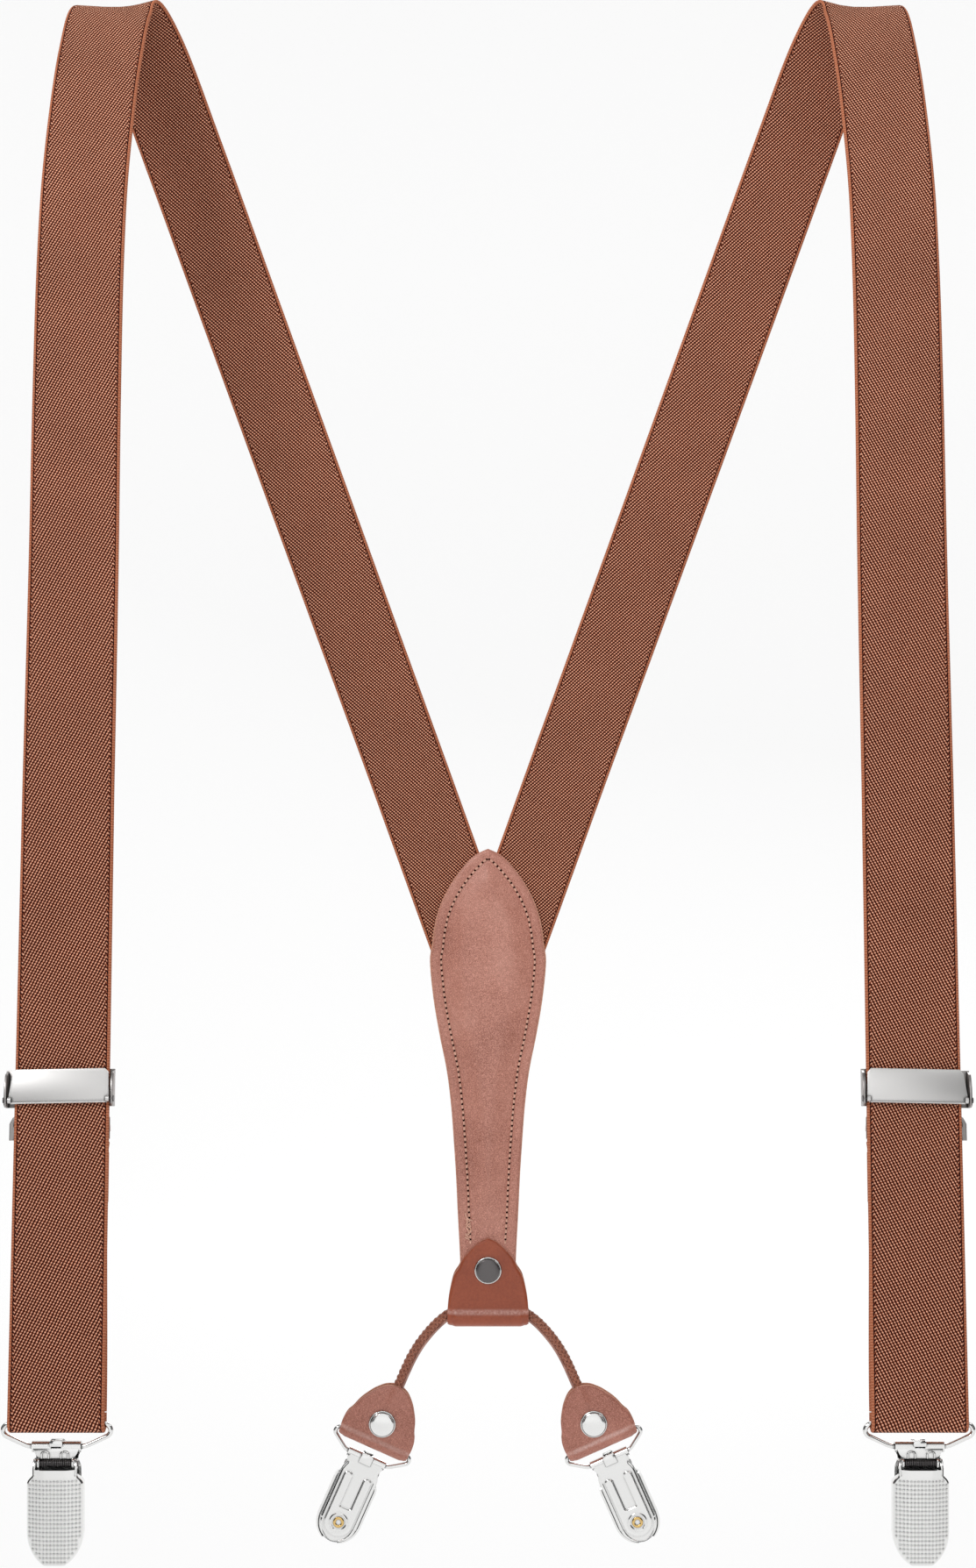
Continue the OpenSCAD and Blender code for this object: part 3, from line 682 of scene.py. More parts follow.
def build_cord():
    """The braid, half of its yarns wound each way over and under the rest, and the piping beneath it."""
    path = cord_path()
    axis = offset_path(path, BRAID_OUT)
    side = np.array([0.0, 1.0, 0.0])
    up = np.cross(side, tangents(axis))
    s = length_along(axis)
    braid = Shape().add(*tube(axis, CORE_R * 0.9, 10))
    fine = np.linspace(0, s[-1], 420)
    middle, up = (np.stack([np.interp(fine, s, p[:, i]) for i in range(3)], 1) for p in (axis, up))
    for k in range(STRANDS):
        way = 1 if k % 2 else -1
        angle = way * 2 * math.pi * fine / BRAID_TURN + 2 * math.pi * (k // 2) / (STRANDS / 2)
        weave = 0.16 * np.cos(STRANDS / 2 * angle + (math.pi if k % 2 else 0))
        r = CORE_R + weave + 0.02
        line = middle + (r * np.cos(angle))[:, None] * up + (r * np.sin(angle))[:, None] * side
        braid.add(*tube(line, YARN_R, 6))
    cord = make_piece("braided_cord_weave", braid, CORD_THREAD, "cord",
                      stands_for=("braided_cord",))
    piping = Shape().add(*tube(offset_path(path, PIPING_OUT), PIPING_R, 12))
    edge = make_piece("cord_piping", piping, PIPING, "cord")


build_cord()


# ---------- Webbing ----------

def cloth_section():
    """Cross-section of webbing as (across, outwards): flat faces, rounded selvedges."""
    half, r = WEB_W / 2, WEB_T / 2
    flat = list(np.linspace(-half + r, half - r, 15))
    round_end = [math.radians(a) for a in (-60, -30, 0, 30, 60)]
    front = [(x, r) for x in flat]
    right = [(half - r + r * math.cos(a), r * math.sin(a)) for a in reversed(round_end)]
    back = [(x, -r) for x in reversed(flat)]
    left = [(-half + r - r * math.cos(a), r * math.sin(a)) for a in round_end]
    return front + right + back + left


def ribbon(path, along0=0.0):
    """Webbing along a path, its width kept as level as the path allows."""
    t = tangents(path)
    side = np.array([1.0, 0, 0]) - t[:, :1] * t
    side /= np.linalg.norm(side, axis=1)[:, None]
    out = np.cross(side, t)
    s = length_along(path) + along0
    section = cloth_section()
    v = [path[i] + side[i] * x + out[i] * y for i in range(len(path)) for x, y in section]
    uv = [(x, s[i]) for i in range(len(path)) for x, y in section]
    return v, grid_faces(len(path), len(section), wrap=True) + end_caps(len(path), len(section)), uv


def front_path():
    """From behind the ring's bar, round it, up the front, over the shoulder and into the yoke."""
    fold = [(0, LAYER_Y, 3.0), (0, LAYER_Y, 1.5)]
    fold += [(0, LAYER_Y * math.cos(a), -LAYER_Y * math.sin(a))
             for a in np.linspace(0, math.pi, 13)]
    run = [(0, -LAYER_Y, h) for h in (2, 5, 10, 20, 40, 70, 110, 150, 200)]
    low = on_run(fold + run)
    upper = catmull(np.vstack([low[-1:], np.array(STRAP_POINTS)]), 24)
    return evenly(np.vstack([low, upper[1:]]), 1.5)


FLAP_Y = LAYER_Y + WEB_T + 0.05


def tail_path():
    """Rear layer: up from the ring, drifting a little to the outer side, and into the adjuster's eye.

    The sewn flap that closes the eye comes second."""
    bar_y = LAYER_Y + WEB_T / 2 + 0.4 + 0.6
    heights = np.linspace(3.3, ADJUSTER_H - 6, 40)
    points = [(ADJUSTER_SHIFT * float(smooth(z, 5, 70)), LAYER_Y, z) for z in heights]
    # Flattened loop round the bar, ending against the layer it came from
    reach_y, reach_z = 1.75, 3.6
    loop = [(ADJUSTER_SHIFT, bar_y - reach_y * math.cos(a), ADJUSTER_H + reach_z * math.sin(a))
            for a in np.linspace(-math.pi * 0.62, math.pi * 0.98, 26)]
    points += [p for p in loop if p[2] > ADJUSTER_H - 5]
    flap = [(ADJUSTER_SHIFT, FLAP_Y, z) for z in np.linspace(ADJUSTER_H - 6.5, ADJUSTER_H - 22, 12)]
    return [evenly(on_run(np.array(p)), 1.5) for p in (points, flap)]


def build_tail_seam(side):
    """Box of stitches that closes the eye, seen on both faces of the sewn end."""
    seam = Shape(on_adjuster)
    reach, rise = np.linspace(-0.9, 0.9, 5), [0.12 * math.sin(math.pi * q) for q in np.linspace(0, 1, 5)]
    for z in np.linspace(ADJUSTER_H - 20, ADJUSTER_H - 9, 3):
        for x in np.arange(-13, 13.1, 2.6):
            for y, way in ((LAYER_Y - WEB_T / 2, -1), (FLAP_Y + WEB_T / 2, 1)):
                seam.add(*tube([(x + d, y + way * up, z) for d, up in zip(reach, rise)], 0.24, 6))
    make_piece(f"{side}_tail_seam", seam, YOKE_THREAD, f"{side}_adjuster", side)


def build_webbing(side):
    def height(z):
        """The point of the strap's middle at that height over the ring, on this side, in metres."""
        return tuple(on_run([0, 0, z]) * [-1 if side == "right" else 1, 1, 1] * MM)

    path = front_path()
    piece = make_piece(f"{side}_webbing", Shape().add(*ribbon(path)), WEBBING, None, side,
                       (f"{side}_strap", f"{side}_strap_loop"), sharp=60)
    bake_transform(piece)
    tail, flap = tail_path()
    tail_shape = Shape().add(*ribbon(tail)).add(*ribbon(flap, 120))
    tail_piece = make_piece(f"{side}_webbing_tail", tail_shape, WEBBING, None, side,
                            (f"{side}_strap_tail",), sharp=60)
    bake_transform(tail_piece)
    build_tail_seam(side)


for side in SIDES:
    build_webbing(side)


# ---------- Yoke ----------

def leather_grid(outline, low, high, rows, cols):
    """Rows and columns over a leather outline: x, the distance along, and that to the nearest side."""
    ease = np.linspace(0, 1, rows) ** 1.15
    along = low + (high - low) * ease
    half = half_widths(outline, along)
    x = half[:, None] * closer_at_ends(cols)[None, :]
    slope = np.gradient(half, along)
    distance = (half[:, None] - np.abs(x)) / np.sqrt(1 + slope[:, None] ** 2)
    ends = np.minimum(along - low, high - along)[:, None]
    return x, np.repeat(along[:, None], cols, 1), np.minimum(distance, ends + 0 * x)


STITCH_INSET, STITCH_PITCH = 4.3, 2.05
PUFF = 1.7
SEAM_END_X, SEAM_END_Z = -7.6, -441.5
YOKE_FRONT_Y = BACK_Y - WEB_T / 2 - LAYER_GAP - LEATHER_T
YOKE_REAR_Y = BACK_Y + WEB_T / 2 + LAYER_GAP + LEATHER_T


def build_yoke_leather(name, face_y, way):
    """One of the two leathers; way is -1 for the face towards the front and 1 for the one behind."""
    x, along, d = leather_grid(YOKE_OUTLINE, 0.05, 168, 150, 61)
    rounding = 0.45 * (1 - smooth(d, 0, 0.9))
    groove = 0.28 * np.exp(-((d - STITCH_INSET) / 0.7) ** 2)
    fade = 1 - smooth(along, 128, 146)
    puff = PUFF * smooth(d, STITCH_INSET - 0.2, STITCH_INSET + 9) * fade
    lip = 0.18 * np.exp(-((d - 1.6) / 1.0) ** 2)
    outward = puff + lip - groove * (0.4 + 0.6 * fade) - rounding
    z = YOKE_TIP_Z - along
    outer = np.stack([x, face_y + way * outward, z], -1)
    inner = np.stack([x, np.full_like(x, face_y - way * LEATHER_T), z], -1)
    shape = Shape().add(*grid_solid(outer, inner, np.stack([x, along], -1)))
    across = x.shape[1] - 1
    faces = (x.shape[0] - 1) * across
    worn_rim = 4
    return make_piece(name + "_grain", shape, [YOKE_LEATHER, CUT_EDGE], "root", stands_for=(name,),
                      sharp=50,
                      pick=lambda k: int(k >= faces or not worn_rim <= k % across < across - worn_rim))


def stitch_line(outline, low, high, inset_mm):
    """The seam's path on one half of an outline, from the top down, as (x, distance along)."""
    along = np.linspace(low, high, 400)
    half = half_widths(outline, along)
    slope = np.gradient(half, along)
    x = half - inset_mm * np.sqrt(1 + slope**2)
    keep = x > 0.1
    return evenly(np.stack([x[keep], along[keep]], 1), 0.25)


def build_yoke_stitches(name, face_y, way):
    """Lock stitches sunk in their groove, with a near-black disc at each end as painted shade of the needle
    hole.
    """
    rng = random.Random(7)
    threads, hole_shades = Shape(), Shape()
    pitch = STITCH_PITCH
    # A near-black lens sunk in the leather: painted shade where the needle passed.
    hole_shade_disc = lathe([(0, 0.1), (0.1, 0.1), (0.36, 0.06), (0.44, 0), (0.36, -0.06), (0.1, -0.1),
                  (0, -0.1)], 10)
    line = stitch_line(YOKE_OUTLINE, 3.5, 150, STITCH_INSET)
    s = length_along(line)
    for half in (-1, 1):
        for k in range(int(s[-1] / pitch)):
            jitter = rng.uniform(-0.1, 0.1)
            at = np.clip(k * pitch + np.linspace(0.42, pitch - 0.38, 7), 0, s[-1])
            x = np.interp(at, s, line[:, 0]) + jitter
            along = np.interp(at, s, line[:, 1])
            lift = 0.26 * np.sin(np.linspace(0, math.pi, 7)) - 0.12
            points = np.stack([half * x, face_y + way * lift, YOKE_TIP_Z - along], 1)
            threads.add(*tube(points, [0.18, 0.34, 0.4, 0.42, 0.4, 0.32, 0.18], 8))
            hx = half * float(np.interp(k * pitch, s, line[:, 0]))
            hz = YOKE_TIP_Z - float(np.interp(k * pitch, s, line[:, 1]))
            hole_shades.add(*moved(hole_shade_disc, [hx, face_y - way * 0.12, hz]))
    if way < 0:
        # The seam's end on the left: back stitches and loose thread ends
        for k in range(9):
            a = rng.uniform(-1.1, 1.1)
            x, z = SEAM_END_X + rng.uniform(-0.7, 0.7), SEAM_END_Z - 1.05 * k
            reach = rng.uniform(0.8, 1.5)
            bend = rng.uniform(-0.5, 0.5)
            q = np.linspace(-1, 1, 7)
            points = np.stack([x + reach * q * math.sin(a) + bend * (1 - q * q),
                               face_y - 0.25 - 0.25 * (1 - q * q), z + reach * q * math.cos(a)], 1)
            threads.add(*tube(points, 0.26, 7))
    make_piece(name + "_stitches", threads, YOKE_THREAD, "root")
    make_piece(name + "_holes", hole_shades, NEEDLE_HOLE_SHADE, "root")


for name, face_y, way in (("yoke_front_leather", YOKE_FRONT_Y, -1),
                          ("yoke_back_leather", YOKE_REAR_Y, 1)):
    build_yoke_leather(name, face_y, way)
    build_yoke_stitches(name, face_y, way)


# ---------- Rivets ----------

def cap_profile(r, h):
    """A low domed cap with a crease and a rolled rim, from the dome's middle to its flat side's."""
    dome = [(0, -h)] + [(r * 0.86 * math.sin(a), -h * 0.62 - h * 0.38 * math.cos(a))
                        for a in np.linspace(0.15, math.pi / 2, 9)]
    rim = [(r * 0.865, -h * 0.36), (r * 0.89, -h * 0.3), (r * 0.94, -h * 0.36), (r * 0.985, -h * 0.27),
           (r, -h * 0.13), (r * 0.98, 0), (0, 0)]
    return dome + rim


def build_cap(name, at, body, material, side="left"):
    """Domed cap; its rolled rim is bright."""
    steps, rim_row, rows = 48, 9, 13
    shape = Shape(at).add(*lathe(cap_profile(RIVET_CAP_R, RIVET_CAP_H), steps))
    return make_piece(name + "_dome", shape, [material, NICKEL], body, side, (name,), sharp=50,
                      pick=lambda k: int(rim_row * steps <= k < rows * steps))


HANGER_OUTER_R = HANGER_INNER_R + LEATHER_T
# The yoke rivet's dome takes the dark metal as a painted dark reflection; the rivet is the same bright
# nickel as the tab rivets.
build_cap("yoke_rivet_cap", lambda p: p + [0, BACK_Y - HANGER_OUTER_R - 0.05, RIVET_Z],
          "root", DARK_NICKEL_AND_PAINTED_REFLECTION)
TAB_RIVET_Z = 10.2
for side in SIDES:
    build_cap(f"{side}_tab_rivet_cap",
              lambda p: on_tab(p + [0, -TAB_OUTER_R, TAB_RIVET_Z - TAB_OUTER_R]), "cord", NICKEL, side)


# ---------- Folded leather: hanger and tabs ----------

def folded_leather(outline, inner_r, thickness, bulge, fold_rise, bump):
    """A strip folded into a U whose outer bottom is z = 0: outer and inner grids, and (x, along).

    bulge swells the fold's outside up to fold_rise; bump(x, height) lifts the flaps' outsides."""
    outer_r = inner_r + thickness
    top = outline[-1][0]
    heights = outer_r + (top - outer_r) * (1 - np.linspace(0, 1, 60) ** 1.1)
    angles = np.linspace(0, math.pi, 25)
    # Each row: the angle round the fold, the height of the fold's centre and of the row, the place along
    rows = [(0.0, h, h, -h) for h in heights]
    rows += [(a, outer_r, outer_r - outer_r * math.sin(a), -outer_r) for a in angles[1:-1]]
    rows += [(math.pi, h, h, h) for h in heights[::-1]]
    s = closer_at_ends(41)
    middle = 1 - smooth(np.abs(s), 0.8, 0.93)
    outer, inner, uv = [], [], []
    for a, centre_z, h, along in rows:
        half = float(half_widths(outline, h))
        x = half * s
        edge = np.minimum(half - np.abs(x), top - h + 0.25)
        rounding = 0.4 * (1 - smooth(edge, 0, 0.9))
        near_fold = 1 - float(smooth(h, outer_r + 0.3, outer_r + fold_rise))
        swell = bulge * abs(math.cos(a)) * near_fold * middle
        on_flap = bump(x, h) if centre_z == h else 0
        for grid, r in ((outer, outer_r + swell + on_flap - rounding), (inner, inner_r + 0 * x)):
            grid.append(np.stack([x, -r * math.cos(a), centre_z - r * math.sin(a)], 1))
        uv.append(np.stack([x, along + 0 * x], 1))
    return np.array(outer), np.array(inner), np.array(uv)


def build_folded(name, body, side, at, outline, inner_r, thickness, fold, bump, leather):
    outer, inner, uv = folded_leather(outline, inner_r, thickness, *fold, bump)
    shape = Shape(at).add(*grid_solid(outer, inner, uv))
    faces = (outer.shape[0] - 1) * (outer.shape[1] - 1)
    return make_piece(name + "_leather", shape, [leather, CUT_EDGE], body, side, (name,),
                      sharp=50, pick=lambda k: int(k >= faces))


def rivet_dip(x, h, rivet_h):
    """The leather's sag under a rivet cap, 1 at its middle."""
    return np.exp(-((x / 6.5) ** 2 + ((h - rivet_h) / 6.5) ** 2))


def hanger_bump(x, h):
    return -0.12 * rivet_dip(x, h, RIVET_Z - HANGER_BOTTOM_Z) * smooth(h, 8, 14)


def tab_bump(x, h):
    cord_ridge = 0.75 * np.exp(-((x / 1.9) ** 2)) * smooth(h, 15.5, 19)
    return cord_ridge - 0.1 * rivet_dip(x, h, TAB_RIVET_Z)


build_folded("hanger_loop", "hanger", "left", lambda p: p + [0, BACK_Y, HANGER_BOTTOM_Z],
             HANGER_OUTLINE, HANGER_INNER_R, LEATHER_T, (1.35, 4.0), hanger_bump, HANGER_LEATHER)
for side in SIDES:
    build_folded(f"{side}_tab", "cord", side, lambda p: on_tab(p - [0, 0, TAB_OUTER_R]),
                 TAB_OUTLINE, TAB_FOLD_R, TAB_LEATHER_T, (0.9, 2.2), tab_bump, TAB_LEATHER)


# ---------- Rings ----------

def side_of(name):
    return "right" if "right" in name else "left"


def ring_path(ring):
    """The wire's middle line: half of the bar, a bend, a sloping side and a stub in the tube."""
    bar, bend, slope = ring
    drop = ring_drop(ring)
    arc = [(bar + bend * math.cos(a), bend * math.sin(a) - bend)
           for a in np.linspace(math.pi / 2, slope - math.pi / 2, 16)]
    corner_r = 1.1
    corner = np.array([TUBE_END_X, -drop])
    back_up = np.array([math.cos(slope), math.sin(slope)])
    knee = [corner + back_up * corner_r, corner + back_up * corner_r * 0.25 + [-corner_r * 0.12, 0.08],
            corner + np.array([-corner_r, 0])]
    return [(x, 0, z) for x, z in [(0, 0), (bar / 2, 0), *arc, *knee, (0.5, -drop)]]


def build_ring(name, ring, at):
    half = evenly(np.array(ring_path(ring), float), 0.5)
    whole = np.vstack([(half * [-1, 1, 1])[::-1], half[1:]])
    shape = Shape(at).add(*tube(whole, WIRE_R, 14))
    make_piece(name + "_wire", shape, WIRE, name, side_of(name), (name,), sharp=60)


# ---------- Clips ----------

# Lever plate: half widths, and heights of its top, of the start of its round end and of its bottom
LEVER_HALF, LEVER_NECK, LEVER_FLAT = 8.65, 6.75, 3.25
LEVER_TOP, LEVER_ROUND, LEVER_BOTTOM = -6.0, -25.2, -35.1
LEVER_FACE_Y, STRIP_HALF, FACET_DROP, FLANGE_Y = -5.0, 3.65, 1.4, -0.2
LEVER_END = math.acos(LEVER_FLAT / LEVER_HALF)
LEVER_DEPTH = (LEVER_ROUND - LEVER_BOTTOM) / math.sin(LEVER_END)
BASE_HALF, BASE_LOW, BASE_END_R = 7.4, -33.6, 7.2
PAD_W, PAD_TOP, BASE_PAD_LOW, LEVER_PAD_LOW = 13, -14, -34.1, -34.2
LUG_X = 5.4


def lever_half(z):
    """Half width of the lever plate at height z: a neck, rounded shoulders, straight sides, round end."""
    widening = np.sin(0.5 * math.pi * np.clip((-7.9 - z) / 2.7, 0, 1))
    shoulders = LEVER_NECK + (LEVER_HALF - LEVER_NECK) * widening
    below = np.clip(LEVER_ROUND - z, 0, None)
    round_end = LEVER_HALF * np.sqrt(np.clip(1 - (below / LEVER_DEPTH) ** 2, 0, 1))
    return np.where(z > LEVER_ROUND, shoulders, round_end)


def lever_face(x):
    """The face's y: a flat strip down the middle, and a facet falling away on either side."""
    out = np.clip((np.abs(x) - STRIP_HALF) / (LEVER_HALF - STRIP_HALF), 0, 1)
    return LEVER_FACE_Y + FACET_DROP * out


def lever_shell():
    """The plate's face, its turned-back flanges and its closed lower end, as one bent sheet."""
    z = np.concatenate([np.linspace(LEVER_TOP, LEVER_ROUND, 34),
                        LEVER_ROUND - LEVER_DEPTH * np.sin(np.linspace(0.04, LEVER_END, 16))])
    half = lever_half(z)
    across = np.concatenate([np.linspace(-1, -0.42, 8), np.linspace(-0.36, 0.36, 9),
                             np.linspace(0.42, 1, 8)])
    outer, inner = [], []
    for zi, hi in zip(z, half):
        deep = 1 - 0.55 * float(smooth(-zi, -LEVER_ROUND, -LEVER_BOTTOM))
        neck = float(smooth(-zi, 6.8, 10.4))
        for grid, cut in ((outer, 0), (inner, SHEET_T)):
            h = hi - cut
            x = across * (h - 0.6)
            y = lever_face(x * hi / h) + cut
            side_y = lever_face(np.array([hi]))[0]
            flange = side_y + (FLANGE_Y - side_y) * deep * (0.45 + 0.55 * neck)
            wall = [(h, flange), (h, side_y + 1.2), (h, side_y + 0.75 + cut * 0.4),
                    (h - 0.06, side_y + 0.45 + cut * 0.6), (h - 0.2, side_y + 0.2 + cut * 0.8),
                    (h - 0.4, side_y + 0.05 + cut)]
            row = [(-a, b, zi) for a, b in wall] + [(a, b, zi) for a, b in zip(x, y)]
            row += [(a, b, zi) for a, b in reversed(wall)]
            grid.append(row)
    outer, inner = np.array(outer), np.array(inner)
    # The sheet's inside stops one thickness above the lower end
    inner[-1, :, 2] += SHEET_T
    return grid_solid(outer, inner, outer[:, :, [0, 2]])


def knurl_dots():
    """Rows of small raised dots over the face of the lever."""
    dot = lathe([(0, -0.24), (0.15, -0.21), (0.27, -0.1), (0.33, 0.12), (0, 0.12)], 10)
    shape = Shape()
    for z in np.arange(-9.4, -34.2, -1.3):
        half = float(lever_half(np.array([z]))[0]) - 0.75
        for x in np.arange(-7.7, 7.71, 1.1):
            if abs(x) < half:
                shape.add(*moved(dot, [x, float(lever_face(np.array([x]))[0]), z]))
    return shape


def lever_ears():
    shape = Shape()
    loop = [(PIN_Y + 1.7 * math.cos(a), PIN_Z + 1.7 * math.sin(a))
            for a in np.linspace(-0.5 * math.pi, 0.75 * math.pi, 16)]
    loop += [(-4.1, -5.8), (-4.2, -9.1), (-2.6, -10)]
    for s in (-1, 1):
        shape.add(*side_slab(loop, s * (EAR_X + SHEET_T / 2), SHEET_T, 0.1))
    return shape


def pad_outline(bottom):
    """A jaw pad's straight sides and round lower end."""
    half, top = PAD_W / 2, PAD_TOP
    arc = [(half * math.cos(a), bottom + half + half * math.sin(a)) for a in np.linspace(0, -math.pi, 14)]
    return [(-half + 0.5, top), (half - 0.5, top), (half, top - 0.5)] + arc + [(-half, top - 0.5)]


def base_half(z):
    """Half width of the base plate at height z."""
    straight = BASE_HALF - 0.9 * np.exp(-((z + 3.6) / 1.7) ** 2)
    end_z = BASE_LOW + BASE_END_R
    round_end = np.sqrt(np.clip(BASE_END_R**2 - np.clip(end_z - z, 0, None) ** 2, 0.04, None))
    return np.where(z > end_z, straight, np.minimum(straight, round_end))


def base_relief(x, z):
    """Raised work on the plate's outside: a fork round the eyelet, the line along the edge, a ring."""
    arm, slot_half, slot_end, leg_top, soft = 5.05, 2.7, -20.5, -7.0, 0.28
    below = np.hypot(x, np.minimum(z - EYELET_Z, 0))
    outer_d = np.maximum(below - arm, 0)
    leg_mid, leg_half = (arm + slot_half) / 2, (arm - slot_half) / 2
    cap_d = np.hypot(np.abs(x) - leg_mid, np.maximum(z - (leg_top - leg_half), 0)) - leg_half
    above = np.where(z > leg_top - leg_half, np.maximum(cap_d, 0), 0)
    corner = 1.3
    slot_x, slot_z = slot_half - np.abs(x), z - slot_end
    in_slot = np.where((slot_x < corner) & (slot_z < corner),
                       corner - np.hypot(corner - slot_x, corner - slot_z), np.minimum(slot_x, slot_z))
    fork = 1 - smooth(np.maximum.reduce([outer_d, above, np.maximum(in_slot, 0)]), 0, 2 * soft)
    line_d = np.abs(base_half(z) - 0.95 - np.abs(x)) * (z < -5) + 9 * (z >= -5)
    line = 0.16 * (1 - smooth(line_d, 0.05, 0.4)) * smooth(-z, 6, 8)
    ring_d = np.abs(np.hypot(x, z - EYELET_Z) - 3.15)
    ring = 0.24 * (1 - smooth(ring_d, 0.15, 0.45))
    return 0.42 * fork + np.maximum(line, ring)


def base_shell():
    """The base plate's sheet, with its relief outside and plain inside."""
    end_z = BASE_LOW + BASE_END_R
    # The last straight row lies just above the round end, so that it keeps the full width
    z = np.concatenate([np.linspace(-0.3, end_z + 1e-6, 150),
                        end_z - BASE_END_R * np.sin(np.linspace(0.03, 1.52, 30))])
    half = base_half(z)
    x = half[:, None] * closer_at_ends(75)[None, :]
    zz = np.repeat(z[:, None], x.shape[1], 1)
    edge = half[:, None] - np.abs(x)
    turn = 0.5 * (1 - smooth(edge, 0, 1.1))
    y = TUBE_OUT_R + base_relief(x, zz) - turn
    outer = np.stack([x, y, zz], -1)
    inner = np.stack([x, np.minimum(y - SHEET_T * 0.75, TUBE_IN_R + 0.25), zz], -1)
    return grid_solid(outer, inner, np.stack([x, zz], -1))


def rolled_tube():
    """The sheet rolled round the ring's wire, open in the middle for the locking tongue."""
    shape = Shape()
    angles = np.linspace(-0.35, 2 * math.pi - 0.75, 40)
    for x0, x1 in ((-TUBE_LEN / 2, -1.6), (1.6, TUBE_LEN / 2)):
        places = (x0, x0 + 0.12, (x0 + x1) / 2, x1 - 0.12, x1)
        outer, inner = (np.array([[(x, r * math.cos(a), r * math.sin(a)) for x in places] for a in angles])
                        for r in (TUBE_OUT_R, TUBE_IN_R))
        shape.add(*grid_solid(outer, inner, outer[:, :, [0, 2]]))
    return shape


def build_spring(name, clip, side, at):
    """The coil spring wound round the hinge pin, thicker in its middle, with a leg down to the plate."""
    wire_r, pitch, reach = 0.22, 0.6, 4.9
    turns = 2 * reach / pitch
    t = np.linspace(0, 1, int(turns * 12))
    a = 2 * math.pi * turns * t
    coil_r = PIN_R + 0.05 + 0.32 * np.sqrt(np.clip(1 - (2 * t - 1) ** 2, 0, 1))
    coil = np.stack([-reach + 2 * reach * t, PIN_Y + coil_r * np.cos(a), PIN_Z + coil_r * np.sin(a)], 1)
    leg = [(-reach, PIN_Y + PIN_R, PIN_Z), (-reach, PIN_Y + 1.5, PIN_Z - 2.5), (-reach, -0.4, PIN_Z - 5)]
    shape = Shape(at).add(*tube(coil, wire_r, 6)).add(*tube(leg, wire_r, 6))
    make_piece(name + "_hinge_spring", shape, DARK_NICKEL_AND_PAINTED_REFLECTION, clip, side, sharp=60)


def build_base_plate(name, at, side):
    plate = Shape(at).add(*base_shell())
    rolled = rolled_tube()
    plate.add(rolled.v, rolled.f)
    tongue = [(-2.0, 0.35), (2.0, 0.35), (2.0, 1.7), (1.6, 2.3), (-1.6, 2.3), (-2.0, 1.7)]
    plate.add(*bevelled_slab(tongue, -TUBE_OUT_R - 0.1, -TUBE_OUT_R + 0.5, 0.2))
    back_tongue = [(-2.4, -2.0), (2.4, -2.0), (2.4, 1.3), (1.9, 1.9), (-1.9, 1.9), (-2.4, 1.3)]
    plate.add(*bevelled_slab(back_tongue, TUBE_OUT_R - 0.4, TUBE_OUT_R + 0.25, 0.2))
    # The rolled sheet runs on below the tube as a front plate with two pressed arches
    neck = [(-7.2, -0.1), (-6.3, -2.0), (-5.6, -2.9), (-5.2, -3.35), (5.2, -3.35), (5.6, -2.9), (6.3, -2.0),
            (7.2, -0.1)]
    plate.add(*bevelled_slab(neck, -TUBE_OUT_R, -TUBE_OUT_R + 0.6, 0.15))
    arch = [(-1.1, -3.2), (-1.1, -1.8), (-0.75, -1.25), (0, -1.05), (0.75, -1.25), (1.1, -1.8), (1.1, -3.2)]
    for x in (-3.3, 2.7):
        plate.add(*tube(catmull([(x + px, -TUBE_OUT_R, pz) for px, pz in arch], 3), 0.26, 8))
    # Lugs that hold the hinge pin
    root_y = TUBE_IN_R + 0.3
    lug = [(root_y, PIN_Z + 2.4), (root_y, PIN_Z - 2.4), (PIN_Y - 0.4, PIN_Z - 1.7),
           (PIN_Y - 1.3, PIN_Z - 0.8), (PIN_Y - 1.3, PIN_Z + 0.8), (PIN_Y - 0.4, PIN_Z + 1.7)]
    for s in (-1, 1):
        plate.add(*side_slab(lug, s * LUG_X, SHEET_T, 0.1))
    make_piece(name + "_base", plate, NICKEL, name + "_clip", side, (name + "_base_plate",),
               sharp=40)


def build_clip(name, at):
    side, clip, lever = side_of(name), name + "_clip", name + "_lever"
    build_base_plate(name, at, side)

    pad = Shape(at).add(*bevelled_slab(pad_outline(BASE_PAD_LOW), -0.85, 0.95, 0.3))
    for z in np.arange(-27.8, -33.6, -1.4):
        half = min(5.2, 5.6 - abs(z + 26.8) * 0.46)
        pad.add(*tube([(-half, -0.85, z), (0, -0.85, z), (half, -0.85, z)], 0.22, 8))
    make_piece(name + "_base_pad_moulded", pad, CLEAR, clip, side, (name + "_base_pad",))

    eyelet = ring_lathe([(0.9, -0.6), (0.95, 2.0), (1.1, 2.25), (1.5, 2.36), (1.95, 2.28), (2.15, 2.05),
                         (2.15, 1.9), (1.3, 1.85), (1.3, -0.6)], 40)
    brass = Shape(at).add(*moved(eyelet, [0, 0.1, EYELET_Z]))
    make_piece(name + "_eyelet_brass", brass, BRASS, clip, side, (name + "_eyelet",), sharp=50)

    shell, ears = Shape(at).add(*lever_shell()), lever_ears()
    shell.add(ears.v, ears.f)
    make_piece(name + "_lever_shell", shell, NICKEL, lever, side, (name + "_lever_plate",),
               sharp=32)
    dots = knurl_dots()
    knurl = Shape(at).add(dots.v, dots.f)
    make_piece(name + "_lever_knurl", knurl, NICKEL, lever, side, sharp=60)
    build_spring(name, clip, side, at)
    lever_pad = Shape(at).add(*bevelled_slab(pad_outline(LEVER_PAD_LOW), -4.0, -1.2, 0.3))
    make_piece(name + "_lever_pad_moulded", lever_pad, CLEAR, lever, side, (name + "_lever_pad",))


for name in CLIPS:
    if name.startswith("front"):
        build_ring(name + "_ring", FRONT_RING, on_front_bar)
        build_clip(name, on_front_clip)
    else:
        build_ring(name + "_ring", BACK_RING, on_tab)
        build_clip(name, on_back_clip)


